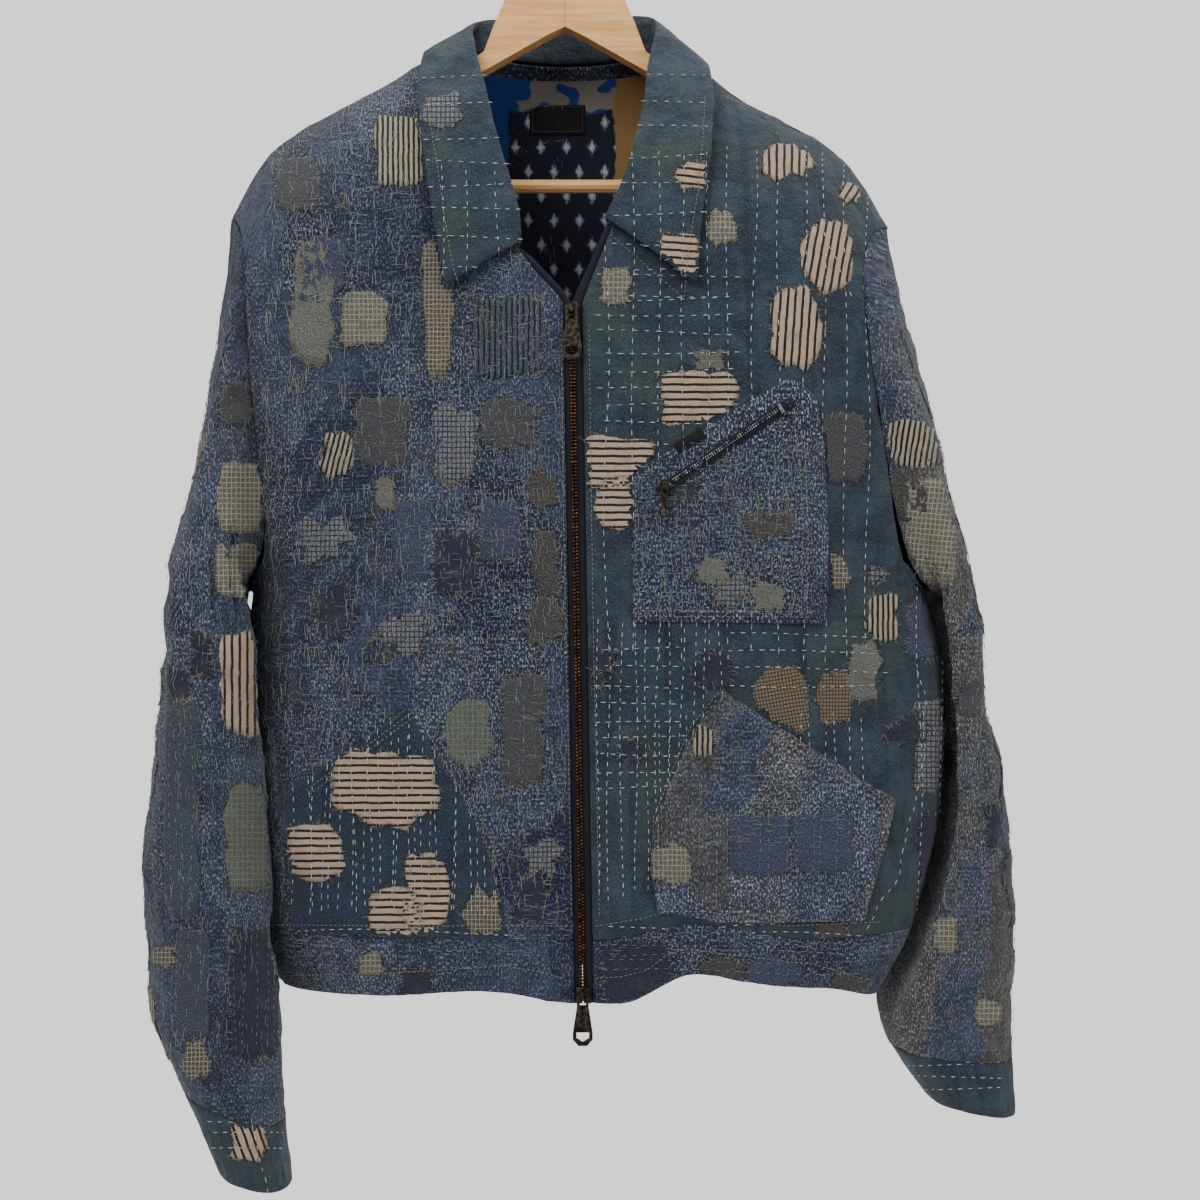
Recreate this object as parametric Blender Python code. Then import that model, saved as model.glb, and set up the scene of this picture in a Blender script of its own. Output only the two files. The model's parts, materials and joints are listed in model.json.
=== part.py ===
"""Patched boro jacket hanging on a plain wooden hanger.

+Z is up, the front faces -Y and +X is the wearer's left. The origin is the inside top of the
hanger's hook. Sizes in the tables and functions are millimetres, and the meshes are metres.
"""

import math

import bmesh
import bpy
import numpy as np
from mathutils import Matrix, Vector

MM = 0.001

# Cloth walls and the clearances between sewn pieces
CLOTH = 2.0
BAND_CLOTH = 2.6
TAPE_CLOTH = 1.0
LABEL_CLOTH = 0.8
SEAM_GAP = 0.3
SLEEVE_CLEARANCE = 6.0
UNDERARM_CLEARANCE = 12.0
UNDERARM_REACH = 90.0
UNDERARM_CLOTH = 1.0
UNDERARM_GAP = 4.5

# Fullness of the body's rounded section, and the sharpness of the shoulder's crest
BODY_ROUND = 2.6
CREST = 0.75
SLEEVE_ROUND = 2.3

# The zip runs down the middle, a little aslant
ZIP_TOP_X = 6.4
ZIP_TOP_Z = -345.0
ZIP_HEM_X = 14.3
ZIP_HEM_Z = -843.0
ZIP_EDGE = {-1: 6.0, 1: 7.5}
CHAIN_HALF_WIDTH = 3.2

# Rows and columns of the cloth grids
OPEN_COLUMNS = 2
NECK_COLUMNS = 6
SHOULDER_COLUMNS = 7
ARMHOLE_STEPS = (5, 10, 16, 23, 30, 34, 36, 33, 27, 20, 13, 8, 4)
SIDE_ROWS = 8
BACK_NECK_COLUMNS = 8
SLEEVE_ROWS = 16
CUFF_ROWS = 4


def table(names, *rows):
    """Rows of numbers as one array for each named column."""
    return {name: np.array(column, float) for name, column in zip(names.split(), zip(*rows))}


# The shoulder line from the right tip, over the neck, to the left tip
SHOULDER = table(
    "x z",
    (-257.0, -283.0),
    (-251.0, -270.0),
    (-244.5, -254.0),
    (-235.0, -234.0),
    (-217.5, -215.0),
    (-200.0, -204.0),
    (-174.0, -190.0),
    (-142.5, -174.0),
    (-120.0, -161.0),
    (-103.0, -148.0),
    (-85.0, -140.0),
    (-50.0, -125.0),
    (0.0, -112.0),
    (50.0, -125.0),
    (85.0, -142.0),
    (103.5, -158.0),
    (121.0, -174.0),
    (141.0, -185.0),
    (169.5, -199.5),
    (199.0, -215.0),
    (216.0, -231.0),
    (230.0, -251.0),
    (240.0, -271.5),
    (244.5, -286.0),
)

# Where the body's section ends at each side, and its depth in front and behind
SECTIONS = table(
    "z right_x left_x front back",
    (-850.0, -211.0, 222.0, 66.0, 56.0),
    (-800.0, -234.0, 252.0, 75.0, 61.0),
    (-756.0, -243.0, 265.0, 80.0, 64.0),
    (-700.0, -246.0, 276.0, 83.0, 66.0),
    (-640.0, -246.0, 279.0, 84.0, 67.0),
    (-590.0, -243.0, 275.0, 84.0, 68.0),
    (-550.0, -238.0, 264.0, 83.0, 68.0),
    (-505.0, -250.0, 262.0, 83.0, 67.0),
    (-460.0, -258.0, 266.0, 83.0, 66.0),
    (-400.0, -262.0, 268.0, 82.0, 65.0),
    (-350.0, -264.0, 267.0, 80.0, 64.0),
    (-300.0, -264.0, 264.0, 78.0, 63.0),
    (-250.0, -263.0, 262.0, 76.0, 62.0),
    (-100.0, -260.0, 258.0, 72.0, 61.0),
)

# Each armhole seam from the underarm up to the shoulder tip
ARMHOLE = {
    -1: table(
        "x z",
        (-238.0, -550.0),
        (-222.0, -535.0),
        (-215.0, -505.0),
        (-217.6, -470.0),
        (-223.4, -430.0),
        (-227.0, -390.0),
        (-229.5, -350.0),
        (-231.4, -305.0),
        (-237.0, -284.0),
        (-250.0, -268.0),
    ),
    1: table(
        "x z",
        (264.0, -550.0),
        (248.0, -538.0),
        (237.4, -505.0),
        (231.6, -460.0),
        (225.8, -425.0),
        (220.7, -390.0),
        (214.9, -350.0),
        (215.5, -305.0),
        (223.0, -288.0),
        (242.0, -277.0),
    ),
}

# Each front's neckline from the collar's end up to the shoulder
NECKLINE = {
    -1: table(
        "x z",
        (-34.0, -308.0),
        (-41.0, -283.0),
        (-48.0, -262.0),
        (-55.0, -238.0),
        (-63.0, -207.0),
        (-76.0, -165.0),
        (-86.0, -142.5),
    ),
    1: table(
        "x z",
        (35.0, -293.0),
        (46.0, -270.0),
        (56.0, -246.0),
        (65.0, -211.0),
        (73.0, -180.0),
        (80.0, -160.0),
        (86.0, -143.5),
    ),
}
BACK_NECK_Z = -141.0

# The seam of the hem band, and the hem itself
BAND_SEAM = table(
    "x z",
    (-240.0, -794.0),
    (0.0, -795.0),
    (30.0, -794.0),
    (55.0, -790.0),
    (78.0, -784.0),
    (105.0, -784.0),
    (165.0, -795.0),
    (255.0, -791.0),
)
HEM = table(
    "x z",
    (-215.0, -840.0),
    (-126.0, -838.0),
    (-46.0, -833.0),
    (-19.0, -837.0),
    (-2.5, -842.0),
    (14.0, -841.0),
    (42.0, -841.0),
    (61.0, -836.0),
    (75.0, -825.0),
    (91.0, -820.0),
    (120.0, -824.0),
    (155.0, -830.0),
    (188.0, -832.0),
    (226.0, -842.0),
)
BACK_BAND_SEAM_Z = -793.0
BACK_HEM_Z = -840.0

# Soft folds of the body: a ridge stands out, a trough has a negative height
FOLDS = {
    "front": table(
        "x0 z0 x1 z1 height width",
        (-150.0, -330.0, -168.0, -560.0, -6.0, 24.0),
        (-196.0, -430.0, -188.0, -700.0, 5.0, 22.0),
        (-62.0, -560.0, -76.0, -750.0, -4.0, 27.0),
        (-28.0, -400.0, -34.0, -690.0, 4.0, 24.0),
        (204.0, -420.0, 206.0, -640.0, -8.0, 21.0),
        (172.0, -330.0, 170.0, -600.0, 5.0, 24.0),
        (74.0, -640.0, 84.0, -800.0, -7.0, 24.0),
        (42.0, -560.0, 46.0, -800.0, 5.0, 21.0),
        (112.0, -560.0, 122.0, -660.0, -3.0, 24.0),
        (232.0, -620.0, 222.0, -790.0, 5.0, 20.0),
    ),
    "back": table(
        "x0 z0 x1 z1 height width",
        (-122.0, -250.0, -132.0, -560.0, 6.0, 28.0),
        (-62.0, -300.0, -52.0, -640.0, -6.0, 26.0),
        (2.0, -260.0, 10.0, -700.0, 5.0, 24.0),
        (72.0, -320.0, 62.0, -700.0, -7.0, 28.0),
        (138.0, -270.0, 148.0, -600.0, 6.0, 26.0),
        (-168.0, -480.0, -160.0, -770.0, -6.0, 24.0),
        (196.0, -560.0, 186.0, -780.0, -6.0, 24.0),
    ),
}

# The sleeves: the outer and inner point of each ring as seen from the front, with its middle
# and half depth. The first row is the armhole and the last is the cuff's edge.
SLEEVE = {
    -1: table(
        "outer_x outer_z inner_x inner_z mid_y depth",
        (-250.0, -268.0, -238.0, -550.0, 0.0, 60.0),
        (-254.0, -328.0, -236.0, -557.0, -8.0, 68.0),
        (-258.0, -379.0, -230.0, -565.0, -15.0, 73.0),
        (-264.0, -430.0, -222.0, -578.0, -22.0, 77.0),
        (-273.0, -485.0, -215.0, -594.0, -27.0, 79.0),
        (-281.0, -532.0, -212.0, -612.0, -30.0, 79.0),
        (-288.0, -584.0, -212.0, -640.0, -32.0, 78.0),
        (-292.0, -640.0, -211.0, -676.0, -34.0, 76.0),
        (-294.0, -695.0, -209.0, -716.0, -35.0, 73.0),
        (-297.0, -750.0, -207.0, -762.0, -36.0, 69.0),
        (-300.0, -800.0, -205.0, -810.0, -38.0, 63.0),
        (-299.0, -836.0, -204.0, -852.0, -40.0, 57.0),
        (-290.0, -864.0, -202.0, -890.0, -42.0, 51.0),
        (-272.0, -901.0, -200.0, -928.0, -45.0, 45.0),
        (-247.0, -958.0, -195.0, -974.0, -48.0, 39.0),
    ),
    1: table(
        "outer_x outer_z inner_x inner_z mid_y depth",
        (242.0, -277.0, 264.0, -550.0, 0.0, 60.0),
        (248.0, -310.0, 267.0, -556.0, 5.0, 66.0),
        (258.0, -350.0, 267.0, -563.0, 8.0, 71.0),
        (269.0, -395.0, 266.0, -574.0, 10.0, 75.0),
        (281.0, -442.0, 263.0, -590.0, 12.0, 77.0),
        (290.0, -488.0, 260.0, -610.0, 13.0, 77.0),
        (301.0, -545.0, 257.0, -640.0, 14.0, 76.0),
        (312.0, -605.0, 253.0, -680.0, 13.0, 74.0),
        (321.0, -660.0, 248.0, -722.0, 11.0, 71.0),
        (328.0, -715.0, 243.0, -765.0, 8.0, 67.0),
        (331.0, -770.0, 238.0, -807.0, 5.0, 62.0),
        (332.0, -825.0, 234.0, -843.0, 2.0, 56.0),
        (333.0, -862.0, 234.0, -866.0, 0.0, 50.0),
        (332.0, -892.0, 241.0, -884.0, -4.0, 45.0),
        (333.0, -932.0, 267.0, -921.0, -10.0, 39.0),
    ),
}
CUFF_ROW = 13.0
HEAD_ROWS = 6.0
FIRST_ROW = 0.7

# Soft folds of the sleeves, in rows down the sleeve and turns round it from the outer edge
SLEEVE_FOLDS = {
    -1: table(
        "row0 turn0 row1 turn1 height",
        (2.0, 0.14, 7.0, 0.20, 5.0),
        (4.0, 0.30, 11.0, 0.28, -5.0),
        (6.5, 0.05, 8.0, 0.33, -5.0),
        (8.5, 0.06, 10.0, 0.30, 5.0),
        (10.5, 0.10, 12.0, 0.38, -5.0),
        (2.0, 0.80, 10.0, 0.74, 5.0),
        (5.0, 0.90, 8.0, 0.66, -5.0),
    ),
    1: table(
        "row0 turn0 row1 turn1 height",
        (2.0, 0.17, 8.0, 0.14, 5.0),
        (3.0, 0.30, 10.0, 0.27, -5.0),
        (7.0, 0.04, 8.5, 0.30, -5.0),
        (10.0, 0.08, 11.5, 0.32, 4.0),
        (2.0, 0.82, 9.0, 0.76, 5.0),
        (6.0, 0.92, 9.0, 0.68, -5.0),
    ),
}

# The collar from the right front round the neck to the left front: a point of the neckline,
# of the fold line and of the outer edge for each station
COLLAR = table(
    "face neck_x neck_z fold_x fold_y fold_z edge_x edge_y edge_z",
    (-1, -34.0, -308.0, -28.5, -84.0, -304.5, -81.0, -88.0, -335.0),
    (-1, -41.0, -283.0, -29.5, -82.0, -279.0, -87.0, -86.0, -306.0),
    (-1, -48.0, -262.0, -36.6, -76.0, -258.0, -91.0, -83.0, -283.0),
    (-1, -55.0, -238.0, -43.6, -66.0, -236.0, -97.0, -76.0, -246.0),
    (-1, -63.0, -207.0, -52.0, -50.0, -203.0, -102.0, -62.0, -208.0),
    (-1, -76.0, -165.0, -62.0, -24.0, -160.0, -107.0, -34.0, -176.0),
    (0, -86.0, -142.5, -70.0, 4.0, -124.0, -105.0, 4.0, -138.0),
    (1, -76.0, -141.0, -66.0, 30.0, -110.0, -102.0, 42.0, -165.0),
    (1, -45.0, -141.0, -42.0, 50.0, -101.0, -60.0, 70.0, -176.0),
    (1, 0.0, -141.0, 0.0, 57.0, -98.0, 0.0, 78.0, -180.0),
    (1, 45.0, -141.0, 42.0, 50.0, -99.0, 60.0, 70.0, -175.0),
    (1, 76.0, -141.0, 65.0, 30.0, -107.0, 102.0, 42.0, -164.0),
    (0, 86.0, -143.5, 69.0, 4.0, -122.0, 105.0, 4.0, -146.0),
    (-1, 80.0, -160.0, 62.0, -22.0, -157.0, 109.0, -34.0, -178.0),
    (-1, 66.0, -208.0, 56.5, -48.0, -205.0, 107.0, -62.0, -212.0),
    (-1, 57.0, -243.0, 48.0, -66.0, -241.0, 103.0, -76.0, -252.0),
    (-1, 48.0, -266.0, 40.5, -76.0, -263.0, 97.0, -83.0, -288.0),
    (-1, 35.0, -293.0, 29.0, -83.0, -287.0, 94.0, -88.0, -334.0),
)
COLLAR_STATIONS = 28
FOLD_HALF_GAP = 3.4
FOLD_DROP = 3.5
FALL_LIFT = 5.0
FOLD_PROUD = 2.5

# Patch pockets as seen from the front, anticlockwise from the lower left corner
POCKETS = {
    "chest_pocket": table(
        "x z",
        (50.0, -570.0),
        (184.0, -571.5),
        (185.5, -502.0),
        (183.5, -451.0),
        (177.5, -413.5),
        (166.0, -402.0),
        (157.0, -400.0),
        (50.0, -466.0),
    ),
    "hand_pocket_right": table(
        "x z",
        (-195.0, -792.0),
        (-38.5, -793.0),
        (-41.5, -776.0),
        (-53.5, -727.5),
        (-76.5, -684.5),
        (-109.5, -632.0),
        (-197.5, -694.0),
    ),
    "hand_pocket_left": table(
        "x z",
        (68.0, -782.0),
        (92.0, -782.0),
        (120.0, -784.0),
        (165.0, -792.0),
        (212.0, -790.0),
        (234.0, -697.0),
        (113.5, -620.0),
        (91.0, -649.0),
        (75.0, -684.5),
        (63.0, -717.0),
        (61.5, -744.0),
    ),
}
POCKET_CLOTH = 1.7

# The slanted zip of the chest pocket, and the small label beside it
CHEST_ZIP = table("x z", (64.0, -477.0), (159.0, -412.5))
CHEST_ZIP_WIDTH = 8.0
CHEST_SLIDER = 0.05
CHEST_STOP = 0.91
TAB_LABEL = table("x z", (79.0, -449.5), (98.5, -437.5))
TAB_LABEL_WIDTH = 8.0

# The lining that shows in the neck, and its bare label, as outlines on the back
NECK_LINING = table("x z", (-112.0, -322.0), (112.0, -322.0), (112.0, -172.0), (76.0, -149.0),
                    (-76.0, -149.0), (-112.0, -172.0))
NECK_LABEL = table("x z", (-29.0, -190.0), (15.0, -190.0), (15.0, -166.0), (-29.0, -166.0))
LINING_CLOTH = 1.2

# The hanger
BOARD_HALF = 7.0
ARM_TOP = table("x z", (0.0, -75.0), (20.0, -80.0), (38.0, -97.0), (49.0, -116.0),
                (60.0, -146.0), (80.0, -158.0), (103.0, -169.0), (130.0, -184.0),
                (165.0, -201.0), (188.0, -213.0), (203.0, -226.0))
ARM_BOTTOM = table("x z", (0.0, -127.5), (12.0, -133.0), (65.0, -163.0), (166.0, -217.0),
                   (168.0, -252.0), (188.0, -254.0), (203.0, -240.0))
ARM_UNDER_CLOTH = 11.0
BAR_Z = -245.0
BAR_RADIUS = 5.0
WIRE_RADIUS = 2.0
HOOK_RADIUS = 20.0
HOOK_END_TURN = 200.0
FERRULE_RADIUS = 6.5
FERRULE_HEIGHT = 8.0

# The main zip's sliders and tabs, and the small pull of the chest zip
TAPE_SET_BACK = 0.8
OPEN_TAPE_WIDTH = 5.0
CHAIN_PROUD = 1.7
CHAIN_THICK = 2.0
CHAIN_ROWS = 24
CHAIN_TOP_Z = -357.0
CHAIN_BOTTOM_Z = -827.0
SLIDER_PROUD = 7.5
BRIDGE_WALL = 1.0
SLIDER = {"half_width": 4.6, "height": 10.0, "thick": 4.6, "bridge": 2.4, "tunnel": 2.6}
TAB = {"length": 36.0, "top_width": 8.4, "low_width": 14.0, "thick": 1.6, "bar": 0.6}
CHEST_HARDWARE = {"half_width": 3.0, "height": 9.0, "thick": 3.0, "bridge": 1.4, "tunnel": 2.2}
CHEST_TAB = {"length": 13.0, "width": 4.6, "eye": 4.0, "hole": 2.5, "thick": 1.2, "bar": 0.5}

# Colours of the finish, as seen in plain light
COLOURS = {
    "boro_heather": (0.075, 0.115, 0.20, 0.9, 0.0),
    "boro_teal": (0.045, 0.085, 0.125, 0.9, 0.0),
    "boro_patch": (0.09, 0.12, 0.17, 0.9, 0.0),
    "kasuri_lining": (0.02, 0.022, 0.06, 0.85, 0.0),
    "label": (0.01, 0.01, 0.01, 0.8, 0.0),
    "zip_tape": (0.012, 0.014, 0.03, 0.85, 0.0),
    "copper_teeth": (0.42, 0.24, 0.15, 0.35, 1.0),
    "antique_metal": (0.12, 0.10, 0.08, 0.4, 1.0),
    "beech": (0.76, 0.50, 0.24, 0.45, 0.0),
    "steel_wire": (0.55, 0.55, 0.55, 0.3, 1.0),
}


# Reading the tables

def smooth(rows, key, column, value):
    """A column at a value of the key, along a smooth curve through the rows."""
    x = rows[key]
    y = rows[column]
    slope = np.gradient(y, x)
    value = np.clip(value, x[0], x[-1])
    low = np.clip(np.searchsorted(x, value) - 1, 0, len(x) - 2)
    span = x[low + 1] - x[low]
    t = (value - x[low]) / span
    start = (2 * t**3 - 3 * t**2 + 1) * y[low] + (t**3 - 2 * t**2 + t) * span * slope[low]
    end = (3 * t**2 - 2 * t**3) * y[low + 1] + (t**3 - t**2) * span * slope[low + 1]
    return start + end


def smooth_path(rows, columns, fraction):
    """Points at fractions of the length of a smooth path through the rows."""
    corners = np.stack([rows[name] for name in columns.split()], axis=-1)
    steps = np.linalg.norm(np.diff(corners, axis=0), axis=1)
    keyed = {"length": np.concatenate(([0.0], np.cumsum(steps)))}
    for index, name in enumerate(columns.split()):
        keyed[name] = corners[:, index]
    length = np.asarray(fraction) * keyed["length"][-1]
    return np.stack([smooth(keyed, "length", name, length) for name in columns.split()], axis=-1)


def smooth_step(value):
    """Ease from 0 to 1 over the values 0 to 1."""
    value = np.clip(value, 0.0, 1.0)
    return value * value * (3 - 2 * value)


def unit(vectors):
    """Vectors of length one."""
    return vectors / np.maximum(np.linalg.norm(vectors, axis=-1, keepdims=True), 1e-9)


# The body's surface

def zip_x(z):
    """The zip's middle line."""
    t = (z - ZIP_TOP_Z) / (ZIP_HEM_Z - ZIP_TOP_Z)
    return ZIP_TOP_X + (ZIP_HEM_X - ZIP_TOP_X) * np.clip(t, 0.0, 1.0)


def side_x(side, z):
    """The x of the body's side, for side -1 (right) or 1 (left)."""
    return np.where(side > 0, smooth(SECTIONS, "z", "left_x", z), smooth(SECTIONS, "z", "right_x", z))


def side_shift(side, z):
    """The sides turn forward at the left and back at the right, as the sleeves lie."""
    amount = smooth_step((-200.0 - z) / 300.0)
    return np.where(side > 0, -30.0, 20.0) * amount


def fold_height(face, x, z):
    """The sum of the soft folds at a point of the front or the back."""
    rows = FOLDS[face]
    total = np.zeros(np.broadcast(x, z).shape)
    for x0, z0, x1, z1, height, width in zip(*[rows[name] for name in rows]):
        run = np.array((x1 - x0, z1 - z0))
        along = np.clip(((x - x0) * run[0] + (z - z0) * run[1]) / (run @ run), 0.0, 1.0)
        away = np.hypot(x - x0 - along * run[0], (z - z0 - along * run[1]) * 0.6)
        total += height * np.exp(-((away / width) ** 2))
    return total


def surface_y(face, x, z):
    """The y of the cloth's outside on the front or the back."""
    out = -1.0 if face == "front" else 1.0
    middle = zip_x(z)
    side = np.where(x < middle, -1, 1)
    across = np.clip((x - middle) / (side_x(side, z) - middle), 0.0, 1.0)
    full = (1 - across**BODY_ROUND) ** (1 / BODY_ROUND)
    near_neck = smooth_step((170.0 - np.abs(x)) / 80.0)
    reach = 110.0 + near_neck * (40.0 if face == "front" else -50.0)
    drop = np.clip((smooth(SHOULDER, "x", "z", x) - z) / reach, 0.0, 1.0)
    crown = np.sin(math.pi / 2 * drop) ** CREST
    soft = fold_height(face, x, z) * (1 - across**8) * smooth_step(drop)
    depth = smooth(SECTIONS, "z", face, z)
    return out * (depth * full * crown + soft) + side_shift(side, z) * (1 - full)


def surface_normal(face, x, z):
    """The outward normal of the front or the back."""
    out = -1.0 if face == "front" else 1.0
    step = 0.5
    slope_x = (surface_y(face, x + step, z) - surface_y(face, x - step, z)) / (2 * step)
    slope_z = (surface_y(face, x, z + step) - surface_y(face, x, z - step)) / (2 * step)
    return unit(np.stack([-out * slope_x, np.full_like(slope_x, out), -out * slope_z], axis=-1))


# Edges of the body's pieces, as lists of (x, z) that neighbours share

def armhole_edge(side):
    """The armhole seam from the underarm to the shoulder tip, which is on the shoulder line."""
    steps = np.array(ARMHOLE_STEPS[::-1], float)
    fraction = np.concatenate(([0.0], np.cumsum(steps))) / steps.sum()
    edge = smooth_path(ARMHOLE[side], "x z", fraction)
    edge[-1, 1] = smooth(SHOULDER, "x", "z", edge[-1, 0])
    return edge


def side_edge(side, bottom_z):
    """The side seam from the hem band to the underarm."""
    z = np.linspace(bottom_z, ARMHOLE[side]["z"][0], SIDE_ROWS + 1)
    return np.stack([side_x(side, z), z], axis=-1)


def shoulder_edge(side):
    """The shoulder seam from the neck to the tip of the armhole."""
    tip = ARMHOLE[side]["x"][-1]
    start = NECKLINE[side]["x"][-1]
    x = start + (tip - start) * np.linspace(0.0, 1.0, SHOULDER_COLUMNS + 1)
    return np.stack([x, smooth(SHOULDER, "x", "z", x)], axis=-1)


def zip_edge(side, rows_down):
    """A front's free edge from the hem band up to the top of the closed zip."""
    bottom_z = float(smooth(BAND_SEAM, "x", "z", zip_x(-795.0)))
    z = bottom_z + (ZIP_TOP_Z - bottom_z) * (1 - rows_down)
    return np.stack([zip_x(z) + side * ZIP_EDGE[side], z], axis=-1)


def neck_edge(side):
    """A front's edge from the closed zip up to the collar's end, and round to the shoulder."""
    start = np.array((zip_x(ZIP_TOP_Z) + side * ZIP_EDGE[side], ZIP_TOP_Z))
    collar_end = np.array((NECKLINE[side]["x"][0], NECKLINE[side]["z"][0]))
    part = np.linspace(0.0, 1.0, OPEN_COLUMNS + 1)[:-1, None]
    neck = smooth_path(NECKLINE[side], "x z", np.linspace(0.0, 1.0, NECK_COLUMNS + 1))
    return np.concatenate([start + (collar_end - start) * part, neck])


def side_columns(count):
    """Fractions from the middle to the side, closer together where the section turns."""
    return 1 - (1 - np.linspace(0.0, 1.0, count + 1)) ** 1.35


def coons(bottom, top, left, right):
    """A grid of points between four edges, rows going up and columns going right."""
    s = np.linspace(0.0, 1.0, len(bottom))[None, :, None]
    t = np.linspace(0.0, 1.0, len(left))[:, None, None]
    across = (1 - s) * left[:, None, :] + s * right[:, None, :]
    upward = (1 - t) * bottom[None, :, :] + t * top[None, :, :]
    low = (1 - s) * bottom[0] + s * bottom[-1]
    high = (1 - s) * top[0] + s * top[-1]
    return across + upward - (1 - t) * low - t * high


# Making solids

def material(name):
    """A named Principled material."""
    found = bpy.data.materials.get(name)
    if found:
        return found
    red, green, blue, rough, metal = COLOURS[name]
    found = bpy.data.materials.new(name)
    found.use_nodes = True
    shader = found.node_tree.nodes["Principled BSDF"]
    shader.inputs["Base Color"].default_value = (red, green, blue, 1.0)
    shader.inputs["Roughness"].default_value = rough
    shader.inputs["Metallic"].default_value = metal
    return found


def add_object(name, bm, finish):
    """Turn a bmesh in metres into the named piece, its faces pointing out."""
    bmesh.ops.recalc_face_normals(bm, faces=bm.faces)
    mesh = bpy.data.meshes.new(name)
    bm.to_mesh(mesh)
    bm.free()
    mesh.shade_smooth()
    mesh.set_sharp_from_angle(angle=math.radians(40))
    mesh.materials.append(material(finish))
    piece = bpy.data.objects.new(name, mesh)
    bpy.context.scene.collection.objects.link(piece)
    return piece


def add_wall(name, outer, normals, thickness, finish, tube=False):
    """A cloth wall from a grid of outer points and the normals that point out of it."""
    inner = outer - normals * thickness
    rows, columns = outer.shape[:2]
    bm = bmesh.new()
    skins = []
    for grid in (outer, inner):
        skins.append([[bm.verts.new(point * MM) for point in row] for row in grid])
    spans = columns if tube else columns - 1
    for row in range(rows - 1):
        for column in range(spans):
            after = (column + 1) % columns
            for skin in skins:
                a, b = skin[row][column], skin[row][after]
                c, d = skin[row + 1][after], skin[row + 1][column]
                bm.faces.new((a, b, c))
                bm.faces.new((a, c, d))
    loops = [[(row, column) for column in range(columns)] for row in (0, rows - 1)]
    if not tube:
        edge = loops[0] + [(row, columns - 1) for row in range(1, rows)]
        edge += loops[1][-2::-1] + [(row, 0) for row in range(rows - 2, 0, -1)]
        loops = [edge]
    for loop in loops:
        for here, there in zip(loop, loop[1:] + loop[:1]):
            a, b = skins[0][here[0]][here[1]], skins[0][there[0]][there[1]]
            c, d = skins[1][there[0]][there[1]], skins[1][here[0]][here[1]]
            bm.faces.new((a, b, c))
            bm.faces.new((a, c, d))
    return add_object(name, bm, finish)


def grid_sheet(outer):
    """The outer skin of a grid as a bmesh in millimetres, with the panel's own triangles."""
    bm = bmesh.new()
    skin = [[bm.verts.new(point) for point in row] for row in outer]
    for row in range(len(skin) - 1):
        for column in range(len(skin[0]) - 1):
            a, b = skin[row][column], skin[row][column + 1]
            c, d = skin[row + 1][column + 1], skin[row + 1][column]
            bm.faces.new((a, b, c))
            bm.faces.new((a, c, d))
    return bm


def add_on_panel(name, panel, face, outline, low, high, finish):
    """A piece that lies on a panel: the panel's own facets inside an outline, moved out."""
    bm = grid_sheet(panel)
    corners = np.stack([outline["x"], outline["z"]], axis=-1)
    for here, there in zip(corners, np.roll(corners, -1, axis=0)):
        run = there - here
        bmesh.ops.bisect_plane(
            bm, geom=bm.verts[:] + bm.edges[:] + bm.faces[:], dist=1e-4,
            plane_co=(here[0], 0.0, here[1]), plane_no=(run[1], 0.0, -run[0]), clear_outer=True)
    bmesh.ops.remove_doubles(bm, verts=bm.verts, dist=0.1)
    bmesh.ops.triangulate(bm, faces=bm.faces)
    points = np.array([vert.co for vert in bm.verts])
    normals = surface_normal(face, points[:, 0], points[:, 2])
    bm.verts.index_update()
    triangles = [[vert.index for vert in polygon.verts] for polygon in bm.faces]
    rim = [[vert.index for vert in edge.verts] for edge in bm.edges if edge.is_boundary]
    bm.free()
    solid = bmesh.new()
    skins = [[solid.verts.new(point * MM) for point in points + normals * level]
             for level in (low, high)]
    for skin in skins:
        for triangle in triangles:
            solid.faces.new([skin[index] for index in triangle])
    for start, end in rim:
        solid.faces.new((skins[0][start], skins[0][end], skins[1][end]))
        solid.faces.new((skins[0][start], skins[1][end], skins[1][start]))
    return add_object(name, solid, finish)


# The body's panels

def front_grid(side):
    """Points of a front's outside, rows going up and columns from the zip to the side."""
    rows_down = rows_from_top()
    right = np.concatenate([side_edge(side, band_seam_z("front", side_x(side, -793.0))),
                            armhole_edge(side)[1:]])
    left = zip_edge(side, rows_down)
    columns = OPEN_COLUMNS + NECK_COLUMNS + SHOULDER_COLUMNS
    x = left[0, 0] + (right[0, 0] - left[0, 0]) * side_columns(columns)
    bottom = np.stack([x, band_seam_z("front", x)], axis=-1)
    bottom[0] = left[0]
    bottom[-1] = right[0]
    top = np.concatenate([neck_edge(side), shoulder_edge(side)[1:]])
    top[0] = left[-1]
    top[-1] = right[-1]
    flat = coons(bottom, top, left, right)
    return on_surface("front", flat)


def rows_from_top():
    """How far down each row of a panel is, from 1 at the hem band to 0 at the top."""
    total = float(sum(ARMHOLE_STEPS)) * 1.9
    side = (total - sum(ARMHOLE_STEPS)) / SIDE_ROWS
    steps = np.array(list(ARMHOLE_STEPS) + [side] * SIDE_ROWS)
    down = np.concatenate(([0.0], np.cumsum(steps))) / total
    return down[::-1]


def band_seam_z(face, x):
    """The height of the seam between a panel and the hem band."""
    if face == "back":
        middle = np.clip(1 - np.abs(x) / 240.0, 0.0, 1.0)
        ends = smooth(BAND_SEAM, "x", "z", x)
        return ends + (BACK_BAND_SEAM_Z - ends) * smooth_step(middle * 3)
    return smooth(BAND_SEAM, "x", "z", x)


def hem_z(face, x):
    """The height of the hem itself."""
    ends = smooth(HEM, "x", "z", x)
    if face == "back":
        middle = np.clip(1 - np.abs(x) / 220.0, 0.0, 1.0)
        return ends + (BACK_HEM_Z - ends) * smooth_step(middle * 3)
    return ends


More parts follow.
